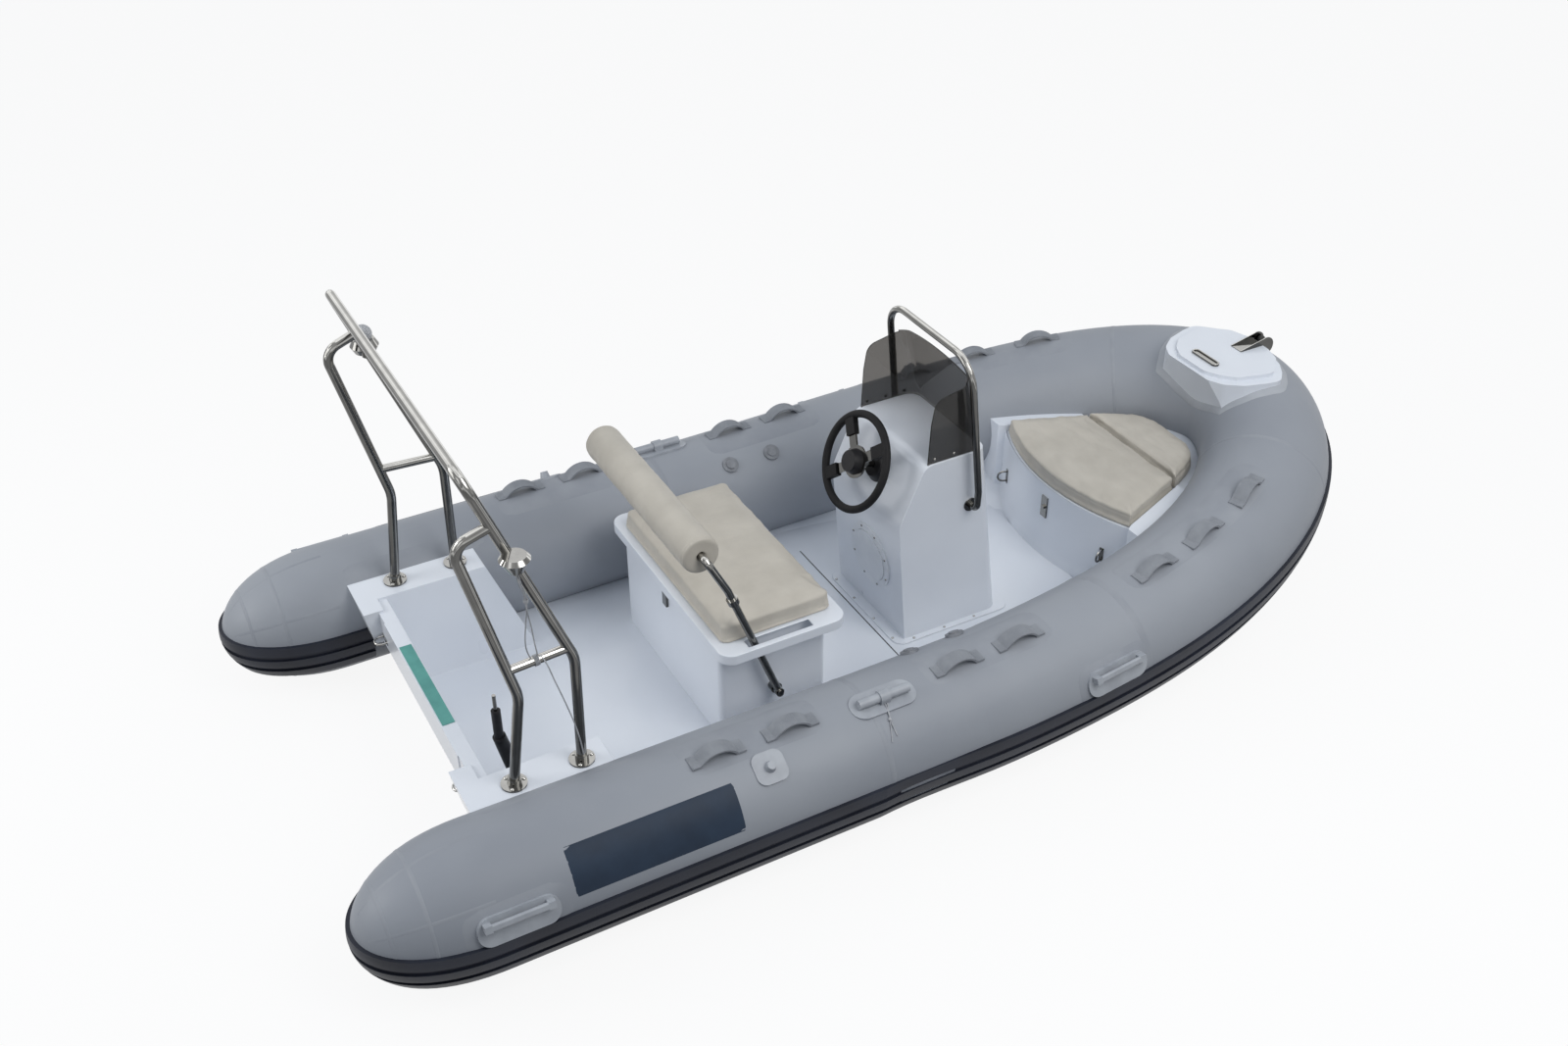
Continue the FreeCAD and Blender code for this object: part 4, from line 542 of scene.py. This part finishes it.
# Name, stations from and to in metres, angles from and to in degrees, finish, corner radius in metres.
patches = [
    ("platform_tape", (-0.050, 0.455), (112, 131), tape_cloth, 0.030),
    ("strap_tape_aft", (0.552, 1.016), (69, 111), tape_cloth, 0.045),
    ("strap_tape_middle", (1.395, 1.885), (69, 111), tape_cloth, 0.045),
    ("strap_tape_bow", (2.235, 2.985), (71, 108), tape_cloth, 0.045),
    ("handle_patch_aft", (-0.205, 0.109), (1, 37), tape_cloth, 0.05),
    ("handle_patch_bow", (1.880, 2.180), (1, 37), tape_cloth, 0.05),
    ("name_patch", (0.126, 0.662), (18.5, 56.5), navy_cloth, 0.004),
]
for name, span, angles, finish, corner in patches:
    for side in ("port", "starboard"):
        patch = tube_patch(name + "_" + side, side, span, angles, finish, corner)
print("patches laid:", 2 * len(patches))

# %% [markdown]
# ## Ring seams
#
# The tube is glued up from cloth panels. Each joint round the tube shows as a narrow raised ring. A ring is
# laid in the same way as a patch, but it runs round the tube and is closed over the part that can be seen.

# %% Seams round the tubes
seam_thick = 0.0011
seam_profile = ((-0.5, rim_lift), (-0.32, seam_thick), (0.32, seam_thick), (0.5, rim_lift))
seam_angles = (-75, 250)
seam_steps = 72


def strip_piece(name, rows, finish, closed=False):
    """Narrow strip through rows of places; a closed strip joins its last row to its first."""
    work = bmesh.new()
    corners = [[work.verts.new(place) for place in row] for row in rows]
    for before, after in zip(corners, corners[1:] + (corners[:1] if closed else [])):
        for index in range(len(before) - 1):
            work.faces.new([before[index], before[index + 1], after[index + 1], after[index]]).smooth = True
    bmesh.ops.recalc_face_normals(work, faces=work.faces)
    return finished_piece(name, work, finish)


def ring_seam(name, side, station, width, turn=None):
    """Narrow raised ring round one tube."""
    rows = []
    for step in range(seam_steps + 1):
        angle = seam_angles[0] + (seam_angles[1] - seam_angles[0]) * step / seam_steps
        row = []
        for share, lift in seam_profile:
            if turn is None:
                row.append(skin_point(side, station + share * width, angle, lift))
            else:
                row.append(skin_point(side, 0, angle, lift, turn + share * width))
        rows.append(row)
    strip_piece(name, rows, tape_cloth)


for side in ("port", "starboard"):
    ring_seam("seam_tip_" + side, side, -0.385, 0.010)
    ring_seam("seam_cone_" + side, side, -0.280, 0.012)
    ring_seam("seam_middle_" + side, side, 1.170, 0.020)
    ring_seam("seam_baffle_" + side, side, 0, 0.008, turn=0.16)
    ring_seam("seam_shoulder_" + side, side, 0, 0.010, turn=0.60)
print("ring seams laid: 10")

# %% [markdown]
# ## Long seams on the stern cones
#
# The rounded stern of each tube is glued up from gores, like slices of an orange, so thin lines run aft along
# the cone towards its tip. A line is a very narrow strip. It takes up the more degrees the thinner the cone
# gets, so that its own width stays even.

# %% Gore lines
gore_start = -0.095
gore_length = 0.342
gore_half_angle = 1.4
gore_thick = 0.0010
gore_steps = 24
cone_share = 0.93
cone_power = 2.3
least_slimness = 0.35


def gore_line(name, side, angle_deg):
    """Thin raised line along a stern cone towards its tip."""
    rows = []
    for step in range(gore_steps + 1):
        share = step / gore_steps
        station = gore_start - share * gore_length
        slimness = max((1 - (share * cone_share) ** cone_power) ** 0.5, least_slimness)
        row = []
        for offset, lift in ((-1, rim_lift), (0, gore_thick), (1, rim_lift)):
            row.append(skin_point(side, station, angle_deg + offset * gore_half_angle / slimness, lift))
        rows.append(row)
    strip_piece(name, rows, tape_cloth)


for side in ("port", "starboard"):
    for number, angle_deg in enumerate((38, 92, 146, 200)):
        gore_line(f"gore_{side}_{number}", side, angle_deg)
print("gore lines laid: 8")

# %% [markdown]
# ## Stuffed cushions
#
# A boat cushion is a foam block in a sewn vinyl cover. The foam pushes the cover out, so the top is crowned,
# the edges are soft, and the sides belly a little between the corners; only the underside stays flat on its
# board. The cover is made by letting cloth swell: the solid is rebuilt as an even net of small squares, drawn
# in slightly, then blown up for a few frames with the underside held. The backrest's roll has no board and is
# held at its ends. Each point may only move a set distance, so a cushion stays in its place, and the result
# is kept as a plain mesh.

# %% Blow up a cover from its solid
swell_frames = 20
stuffing = {"quality": 5, "mass": 0.3, "tension_stiffness": 12, "compression_stiffness": 12,
            "bending_stiffness": 0.8, "use_pressure": True, "uniform_pressure_force": 4.0}
board_edge = 0.006
roll_end = 0.010


def outward(mesh):
    """Direction straight out of the net at every point."""
    return [corner.normal.copy() for corner in mesh.vertices]


def draw_in(mesh, inset, on_board):
    """Move every point inwards along its normal; an underside that lies on a board keeps its height."""
    floor = min(corner.co.z for corner in mesh.vertices)
    for corner, normal in zip(mesh.vertices, outward(mesh)):
        step = normal * inset
        if on_board and corner.co.z < floor + inset:
            step.z = 0
        corner.co -= step


def swell(piece, cap, held):
    """Let the cover swell for some frames with some points held, and keep the result."""
    start = [corner.co.copy() for corner in piece.data.vertices]
    piece.vertex_groups.new(name="held").add(held, 1.0, "REPLACE")
    cloth = piece.modifiers.new("stuffing", "CLOTH")
    adjust(cloth.settings, vertex_group_mass="held", **stuffing)
    cloth.settings.effector_weights.gravity = 0
    adjust(cloth.point_cache, frame_start=1, frame_end=swell_frames)
    for frame_number in range(1, swell_frames + 1):
        bpy.context.scene.frame_set(frame_number)
    seen = piece.evaluated_get(bpy.context.evaluated_depsgraph_get())
    swollen = [corner.co.copy() for corner in seen.data.vertices]
    piece.modifiers.clear()
    bpy.context.scene.frame_set(1)
    farthest = 0
    for corner, before, after in zip(piece.data.vertices, start, swollen):
        move = after - before
        farthest = max(farthest, move.length)
        if move.length > cap:
            move *= cap / move.length
        corner.co = before + move
    return farthest


def held_points(mesh, node, on_board):
    """Points of a cover that stay where they are: those at its board, or at the ends of a roll."""
    low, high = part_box(node)
    if on_board:
        return [corner.index for corner in mesh.vertices if corner.co.z < low.z + board_edge]
    return [corner.index for corner in mesh.vertices if abs(corner.co.y) > high.y - roll_end]


def cushion_cover(node, name, voxel, inset, cap, on_board=True):
    """Soft cover that stands in for a cushion's solid."""
    source = nodes[node]
    piece = add_piece(name, source.data.copy(), sand_vinyl, source["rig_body"])
    adjust(piece.modifiers.new("net", "REMESH"), mode="VOXEL", voxel_size=voxel)
    settle_modifiers(piece)
    draw_in(piece.data, inset, on_board)
    farthest = 0
    farthest = swell(piece, cap, held_points(piece.data, node, on_board))
    adjust(piece.modifiers.new("ease", "SMOOTH"), factor=0.5, iterations=3)
    piece.modifiers.new("finer", "SUBSURF").levels = 1
    settle_modifiers(piece)
    piece.vertex_groups.clear()
    for face in piece.data.polygons:
        face.use_smooth = True
    piece.data.materials.clear()
    piece.data.materials.append(sand_vinyl)
    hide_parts(node)
    print(name, "faces", len(piece.data.polygons), "farthest move in mm", round(farthest * 1000, 1))
    return piece


# Solid, name of its cover, then in metres the size of its net, its inset and its farthest swelling.
seat_cover = cushion_cover("seat_cushion", "seat_cover", 0.007, 0.003, 0.009)
aft_pad_cover = cushion_cover("bow_pad_aft", "bow_pad_aft_cover", 0.007, 0.003, 0.007)
forward_pad_cover = cushion_cover("bow_pad_forward", "bow_pad_forward_cover", 0.007, 0.003, 0.007)
roll_cover = cushion_cover("backrest_roll", "backrest_roll_cover", 0.0065, 0.004, 0.006, on_board=False)

# %% [markdown]
# ## Folds and seams in the covers
#
# Vinyl doesn't stay smooth: it drags in long shallow folds between the corners, and it is pinched where two
# panels are sewn together. Both are made by moving the points of the finished net. The folds are layered
# waves of different length that fade towards the underside, and a seam is a narrow groove along a line.

# %% Press folds and seams into a cover
fold_fade = 0.03
short_wave = 2.3
short_share = 0.5
wave_shift = Vector((7.1, 3.3, 1.9))
seam_half_width = 0.006


def press_folds(piece, depth, stretch, floor=None):
    """Shallow folds: noise that is stretched along one direction, pressed in along the normals."""
    mesh = piece.data
    for corner, normal in zip(mesh.vertices, outward(mesh)):
        place = Vector((corner.co.x / stretch[0], corner.co.y / stretch[1], corner.co.z / stretch[2]))
        wave = noise.noise(place) + short_share * noise.noise(place * short_wave + wave_shift)
        fade = 1 if floor is None else max(0, min(1, (corner.co.z - floor) / fold_fade))
        corner.co += normal * (wave * depth * fade)
    mesh.update()


def press_seam(piece, axis, level, depth):
    """Groove where a cover's points are at a level along an axis, on either side of nought."""
    mesh = piece.data
    for corner, normal in zip(mesh.vertices, outward(mesh)):
        away = abs(abs(corner.co[axis]) - level)
        if away < seam_half_width:
            corner.co -= normal * (depth * (1 - (away / seam_half_width) ** 2) ** 2)
    mesh.update()


seat_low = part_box("seat_cushion")[0].z
pad_low, pad_high = (corner.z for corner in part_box("bow_pad_aft"))
roll_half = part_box("backrest_roll")[1].y
press_folds(seat_cover, 0.0034, (0.15, 0.055, 0.15), seat_low)
press_folds(aft_pad_cover, 0.0036, (0.05, 0.13, 0.13), pad_low)
press_folds(forward_pad_cover, 0.0032, (0.06, 0.10, 0.10), pad_low)
press_folds(roll_cover, 0.0014, (0.06, 0.035, 0.06))
press_seam(seat_cover, 2, seat_low + 0.014, 0.0016)
press_seam(aft_pad_cover, 2, pad_high - 0.020, 0.0012)
press_seam(forward_pad_cover, 2, pad_high - 0.020, 0.0012)
press_seam(roll_cover, 1, roll_half - 0.016, 0.0026)
print("covers sewn: 4")

# %% [markdown]
# ## Tape round the bow step
#
# Where the moulded step sits on the bow tube, a cloth tape is glued round it to seal the joint. Its outline
# follows the step's own outline, a little further out. To find that outline, a point walks over the skin of
# the tube from under the middle of the step, in one direction after another, until nothing is above it.

# %% Lay the tape round the step
stem_scale = 1.05
step_angle = 105
nearest_edge = 0.03
farthest_edge = 0.42
probe_lift = 0.001
probe_height = 0.1
halvings = 14
tape_tuck = 0.006
tape_steps = 180
skin_trees = {}


def drop(name, start, direction):
    """Where a ray first meets a solid, and the way that the surface faces there."""
    if name not in skin_trees:
        skin_trees[name] = skin_tree([name])
    return skin_trees[name].ray_cast(Vector(start), Vector(direction).normalized())[:2]


def bow_skin(along, angle_deg, lift):
    """Point on the bow tube at a distance from the stem, port side positive, and an angle round it."""
    side = "port" if along >= 0 else "starboard"
    return skin_point(side, 0, angle_deg, lift, 1 - abs(along) / stem_scale)


def round_step(way, reach, lift):
    """Point on the bow tube that lies in one direction from under the middle of the step."""
    up = reach * math.sin(way) / bow_tube_radius
    return bow_skin(reach * math.cos(way), step_angle + math.degrees(up), lift)


def step_reach(way):
    """Distance over the skin from under the middle of the step to its edge."""
    near, far = nearest_edge, farthest_edge
    for halving in range(halvings):
        reach = (near + far) / 2
        point = round_step(way, reach, probe_lift)
        outwards = round_step(way, reach, probe_height) - point
        if drop("bow_step", point, outwards)[0] is None:
            far = reach
        else:
            near = reach
    return near


def step_tape(width, thick):
    """Raised tape on the bow tube round the foot of the step."""
    rows = []
    for count in range(tape_steps):
        way = 2 * math.pi * count / tape_steps
        reach = step_reach(way)
        profile = ((-tape_tuck, thick), (width * 0.9, thick), (width, rim_lift))
        rows.append([round_step(way, reach + outwards, lift) for outwards, lift in profile])
    print("step tape rows", len(rows))
    strip_piece("step_tape", rows, seal_tape, closed=True)


seal_tape = new_finish("seal_tape", (0.420, 0.440, 0.472), (0.370, 0.390, 0.422), 0.10, (0.42, 0.54))
add_bump(seal_tape, 0.0022, 0.00012)
step_tape(0.030, 0.0022)

# %% [markdown]
# ## Screws
#
# The arch's feet, the inspection hatch, the windshield and the console's foot are all held by round-headed
# screws. A head is a turned shape: a few rings of points from the rim to the recess in its middle. Every head
# is dropped on the piece that it holds and leans the way that surface faces, and the heads of one fitting are
# joined in one mesh.

# %% Screw heads
head_rings = ((1.0, -0.10), (1.0, 0.18), (0.86, 0.42), (0.50, 0.55), (0.26, 0.57), (0.14, 0.22))
head_sides = 14
straight_down = (0, 0, -1)


def next_ring(work, before, places):
    """Ring of new points through some places, joined to the ring before it where there is one."""
    ring = [work.verts.new(place) for place in places]
    for count in range(len(ring) if before else 0):
        following = (count + 1) % len(ring)
        work.faces.new([before[count], before[following], ring[following], ring[count]]).smooth = True
    return ring


def pan_screws(name, places, radius):
    """Round screw heads with a recess, one at each place, joined in one mesh."""
    work = bmesh.new()
    for place, facing in places:
        turn = facing.to_track_quat("Z", "X")
        ring = None
        for reach, rise in head_rings:
            spots = []
            for count in range(head_sides):
                angle = 2 * math.pi * count / head_sides
                local = Vector((math.cos(angle) * reach, math.sin(angle) * reach, rise)) * radius
                spots.append(place + turn @ local)
            ring = next_ring(work, ring, spots)
        work.faces.new(ring)
    print(name, len(places))
    finished_piece(name, work, bright_tube)


print("rings in a screw head:", len(head_rings))

# %% Where the screws sit
leg_stations = (-1.239, -1.455)
leg_across = 0.565
foot_circle = 0.0312
foot_hole_radius = 0.0055
hatch_circle = 0.115
hatch_slope = 0.092
shield_inset = 0.018
flange_inset = 0.011


def foot_screws():
    """Places of the three screws in each foot flange of the arch."""
    places = []
    for station in leg_stations:
        for across in (-leg_across, leg_across):
            for count in range(3):
                angle = 2 * math.pi * count / 3
                aside = Vector((math.cos(angle), math.sin(angle), 0))
                hole = Vector((station, across, 0)) + aside * foot_circle
                rim = hole + aside * foot_hole_radius
                flange, facing = drop("arch_flanges", (rim.x, rim.y, 0.6), straight_down)
                places.append((Vector((hole.x, hole.y, flange.z)), Vector((0, 0, 1))))
    return places


def hatch_screws():
    """Places of eight screws round the ring of the console's inspection hatch."""
    low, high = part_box("hatch_ring")
    middle = (low + high) / 2
    lean = Vector((-1, 0, -hatch_slope)).normalized()
    rise = Vector((-hatch_slope, 0, 1)).normalized()
    places = []
    for count in range(8):
        angle = 2 * math.pi * (count + 0.5) / 8
        spot = middle + (Vector((0, 1, 0)) * math.cos(angle) + rise * math.sin(angle)) * hatch_circle
        places.append(drop("hatch_ring", spot + lean * 0.1, -lean))
    return places


def shield_screws():
    """Places of the screws along the windshield's lower edge."""
    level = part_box("windshield")[0].z + shield_inset
    places = []
    for side in (-1, 1):
        for station in (0.222, 0.300, 0.378):
            places.append(drop("windshield", (station, side * 0.5, level), (0, -side, 0)))
    for across in (-0.13, 0, 0.13):
        places.append(drop("windshield", (0.8, across, level), (-1, 0, 0)))
    return places


def console_screws():
    """Places of the screws in the flange round the console's foot."""
    low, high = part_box("console")
    starts = [(low.x + flange_inset, across) for across in (-0.20, -0.07, 0.07, 0.20)]
    for side in (-1, 1):
        starts += [(station, side * (high.y - flange_inset)) for station in (0.17, 0.30, 0.43)]
    found = [drop("console", (station, across, 0.3), straight_down) for station, across in starts]
    return [(place, facing) for place, facing in found if place and place.z < low.z + 0.03]


pan_screws("foot_screws", foot_screws(), 0.0065)
pan_screws("hatch_screws", hatch_screws(), 0.0045)
pan_screws("shield_screws", shield_screws(), 0.0060)
pan_screws("console_screws", console_screws(), 0.0050)

# %% [markdown]
# ## Joint in the sole
#
# The sole is laid in two panels. Where they meet, just behind the console, a flush line of dark sealant runs
# from side to side. It is a very thin ribbon on the deck, slightly rounded on top.

# %% Sealant line
joint_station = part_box("console")[0].x - 0.018
joint_reach = 0.43
joint_width = 0.005
joint_thick = 0.0006
joint_steps = 40


def sole_joint():
    """Ribbon of sealant laid across the sole by rays from above."""
    rows = []
    for count in range(joint_steps + 1):
        across = -joint_reach + 2 * joint_reach * count / joint_steps
        row = []
        for offset, lift in ((-0.5, rim_lift), (0, joint_thick), (0.5, rim_lift)):
            place, facing = drop("deck", (joint_station + offset * joint_width, across, 0.30), straight_down)
            row.append(place + Vector((0, 0, lift)))
        rows.append(row)
    strip_piece("sole_joint", rows, dark_joint)


sole_joint()
print("sole joint at station", round(joint_station, 3))

# %% [markdown]
# ## Globe of the port lamp
#
# The all-round lamp on the port leg has a milky glass globe in a bright cup. The solid is one piece, so its
# rounded copy carries two finishes, and the height of a face says which one it takes.

# %% Two finishes on one lamp
milky_glass = new_finish("milky_glass", (0.700, 0.720, 0.750), (0.600, 0.620, 0.650), 0.02, (0.18, 0.28))
add_bump(milky_glass, 0.006, 0.0006, "ShaderNodeTexWave")
feed(shader_of(milky_glass), {"Transmission Weight": 0.35})
globe_height = 0.045
lamp_skin = rounded_copy("lamp_port", 0.0012)
lamp_skin.data.materials.append(milky_glass)
globe_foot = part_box("lamp_port")[1].z - globe_height
for face in lamp_skin.data.polygons:
    if face.center.z > globe_foot:
        face.material_index = 1
print("globe faces", sum(1 for face in lamp_skin.data.polygons if face.material_index == 1))

# %% [markdown]
# ## Wires of the starboard lamp
#
# The starboard lamp waits to be connected: two thin wires hang down to the short brace between the legs and
# are tied there, and one goes on to the foot of the forward leg. A wire is a fixed length of something limp,
# so each is a smooth curve led by a few points that were chosen one by one, with a round section.

# %% Hang the wires
wire_width = 0.004
band_thick = 0.0016
band_sides = 10
band_steps = 18


def limp_line(name, points, width):
    """Round wire or string along a smooth curve that starts and ends at its first and last points."""
    line = bpy.data.curves.new(name, "CURVE")
    line.dimensions = "3D"
    spline = line.splines.new("NURBS")
    spline.points.add(len(points) - 1)
    for knot, point in zip(spline.points, points):
        knot.co = (*point, 1)
    adjust(spline, order_u=3, use_endpoint_u=True, resolution_u=12)
    bare = bpy.data.objects.new(name + "_line", line.copy())
    corners = [corner.co.copy() for corner in bpy.data.meshes.new_from_object(bare).vertices]
    bpy.data.objects.remove(bare)
    adjust(line, bevel_depth=width / 2, bevel_resolution=3, use_fill_caps=True)
    line.materials.append(wire_sleeve)
    wire = new_object(name, line)
    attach(wire, "boat")


def wire_tie(name, middle, along, radius, width, turns):
    """Narrow band wound a few times round a bundle."""
    turn = Vector(along).to_track_quat("Z", "X")
    work = bmesh.new()
    ring = None
    for count in range(band_steps * turns + 1):
        angle = 2 * math.pi * count / band_steps
        climb = (count / (band_steps * turns) - 0.5) * width
        places = []
        for side in range(band_sides):
            lean = 2 * math.pi * side / band_sides
            reach = radius + band_thick * math.cos(lean)
            rise = climb + band_thick * math.sin(lean)
            places.append(middle + turn @ Vector((math.cos(angle) * reach, math.sin(angle) * reach, rise)))
        first = ring is None
        ring = next_ring(work, ring, places)
        if first or count == band_steps * turns:
            work.faces.new(ring)
    bmesh.ops.recalc_face_normals(work, faces=work.faces)
    finished_piece(name, work, wire_sleeve)


lamp_tail = Vector((-1.3914, -0.624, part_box("lamp_starboard")[0].z))
side_tail = lamp_tail + Vector((0.007, 0.004, 0))
brace_low, brace_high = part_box("arch_braces")
brace_top = Vector((-1.3500, -0.5775, brace_high.z))
brace_middle = Vector((brace_top.x, brace_top.y, (brace_low.z + brace_high.z) / 2))
tie_place = Vector((-1.372, -0.612, 1.075))
long_route = [lamp_tail, lamp_tail + Vector((0, 0, -0.035)), tie_place + Vector((0, 0, 0.030)),
              tie_place + Vector((0, 0, -0.020)), (-1.358, -0.596, 0.975), (-1.353, -0.592, 0.905),
              brace_top + Vector((0.004, -0.010, 0.010)), brace_top + Vector((0.002, 0, 0.001))]
short_route = [side_tail, side_tail + Vector((0, 0, -0.040)), tie_place + Vector((0.005, 0.004, 0.030)),
               tie_place + Vector((0.005, 0.004, -0.020)), (-1.376, -0.600, 0.985), (-1.381, -0.592, 0.915),
               (-1.372, -0.584, 0.868), brace_top + Vector((-0.015, 0, 0.001))]
foot_route = [brace_top + Vector((0.012, 0, 0.001)), brace_top + Vector((0.022, -0.022, -0.012)),
              (-1.318, -0.612, 0.790), (-1.292, -0.626, 0.690), (-1.268, -0.622, 0.590),
              (-1.250, -0.606, 0.500), (-1.239, -0.586, 0.434)]
limp_line("lamp_wire_long", long_route, wire_width)
limp_line("lamp_wire_short", short_route, wire_width)
limp_line("foot_wire", foot_route, wire_width)
upper_place = tie_place + Vector((0.0025, 0.002, 0.004))
wire_tie("upper_tie", upper_place, (0.02, 0.10, -1), radius=0.0062, width=0.010, turns=3)
wire_tie("brace_tie", brace_middle, (1, 0.08, 0), radius=0.0158, width=0.016, turns=4)

# %% [markdown]
# ## String on the oar lock
#
# A short string is knotted round the starboard oar lock. Its two ends lie down the side of the tube, one
# longer than the other. They follow the map of the tube, close above the skin, and the knot is a small band
# wound over both.

# %% Knot and two ends
string_width = 0.0034


def lock_string(station, angle_deg, lift):
    """Place of the string near the starboard oar lock."""
    return skin_point("starboard", station, angle_deg, lift)


knot_place = lock_string(1.210, 58, 0.004)
beside_knot = knot_place + Vector((0.002, 0, 0.002))
knot_along = lock_string(1.205, 54, 0) - lock_string(1.214, 62, 0)
long_end = [lock_string(1.232, 76, 0.010), lock_string(1.226, 69, 0.008), knot_place,
            lock_string(1.200, 50, 0.003), lock_string(1.190, 41, 0.002)]
short_end = [lock_string(1.222, 76, 0.010), lock_string(1.218, 68, 0.008), beside_knot,
             lock_string(1.210, 51, 0.003), lock_string(1.214, 44, 0.002)]
limp_line("string_long", long_end, string_width)
limp_line("string_short", short_end, string_width)
wire_tie("string_knot", knot_place, knot_along, radius=0.0042, width=0.008, turns=3)

# %% [markdown]
# ## Floor and light
#
# The boat is lit as under an overcast sky: a pale room that is brighter overhead than at the horizon, a large
# soft light high on the starboard side, and a weaker and lower one from astern. The floor is the water level.
# Seen straight on it is almost white, but it still takes the boat's shadow, and the light that it throws back
# up is that of dark water, so the undersides of the tubes stay dark as they do outdoors. The room is white
# too where it is seen, straight or in metal and glass, and only its light on matt surfaces is dimmer.

# %% Floor and room
floor_reach = 40
floor_white = 0.90
horizon_light = 0.24
overhead_light = 0.74


def seen_rays(tree):
    """Socket that is 1 for a ray from the camera, from a mirror or through glass, and 0 for any other."""
    path = add_node(tree, "ShaderNodeLightPath", {})
    seen = path.outputs["Is Camera Ray"]
    for kind in ("Is Glossy Ray", "Is Transmission Ray"):
        seen = add_node(tree, "ShaderNodeMath", {0: seen, 1: path.outputs[kind]}, "MAXIMUM").outputs[0]
    return seen


def mixed(tree, share, first, second):
    """Mix of two shaders."""
    return add_node(tree, "ShaderNodeMixShader", {"Fac": share, 1: first.outputs[0], 2: second.outputs[0]})


floor_mesh = bpy.data.meshes.new("floor")
floor_corners = [Vector((x, y, 0)) * floor_reach for x, y in ((-1, -1), (1, -1), (1, 1), (-1, 1))]
floor_mesh.from_pydata(floor_corners, [], [(0, 1, 2, 3)])
floor = new_object("floor", floor_mesh)
floor_finish = bpy.data.materials.new("pale_floor")
floor_finish.use_nodes = True
tree = floor_finish.node_tree
tree.nodes.clear()
dark_water = add_node(tree, "ShaderNodeBsdfDiffuse", {"Color": (0.070, 0.075, 0.085, 1)})
shadowed = add_node(tree, "ShaderNodeBsdfDiffuse", {"Color": (0.80, 0.81, 0.83, 1)})
white = add_node(tree, "ShaderNodeEmission", {"Color": (1, 1, 1, 1)})
floor_mix = mixed(tree, seen_rays(tree), dark_water, mixed(tree, floor_white, shadowed, white))
add_node(tree, "ShaderNodeOutputMaterial", {"Surface": floor_mix.outputs[0]})
floor_mesh.materials.append(floor_finish)

world = bpy.data.worlds.new("pale_room")
bpy.context.scene.world = world
world.use_nodes = True
tree = world.node_tree
tree.nodes.clear()
ray_way = add_node(tree, "ShaderNodeTexCoord", {}).outputs["Generated"]
ray_height = add_node(tree, "ShaderNodeSeparateXYZ", {"Vector": ray_way}).outputs["Z"]
level_inputs = {"Value": ray_height, "To Min": horizon_light, "To Max": overhead_light}
room_level = add_node(tree, "ShaderNodeMapRange", level_inputs).outputs["Result"]
room_light = add_node(tree, "ShaderNodeBackground", {"Color": (0.86, 0.92, 1.0, 1), "Strength": room_level})
room_seen = add_node(tree, "ShaderNodeBackground", {"Color": (1, 1, 1, 1)})
room_mix = mixed(tree, seen_rays(tree), room_light, room_seen)
add_node(tree, "ShaderNodeOutputWorld", {"Surface": room_mix.outputs[0]})
print("floor and room set")

# %% Lamps
def soft_light(name, place, aim, size, watts, colour):
    """Large square lamp at a place, turned to its aim."""
    data = bpy.data.lights.new(name, "AREA")
    adjust(data, shape="SQUARE", size=size, energy=watts, color=colour)
    lamp = new_object(name, data)
    lamp.location = place
    lamp.rotation_euler = (Vector(aim) - Vector(place)).to_track_quat("-Z", "Y").to_euler()


soft_light("quarter_light", (1.1, -3.4, 4.4), (1.1, 0.3, 0.3), 3.2, 120, (1.0, 0.985, 0.96))
soft_light("stern_light", (-5.5, 1.4, 2.6), (0.9, 0.2, 0.4), 2.6, 95, (1.0, 0.99, 0.97))
print("lamps set: 2")

# %% [markdown]
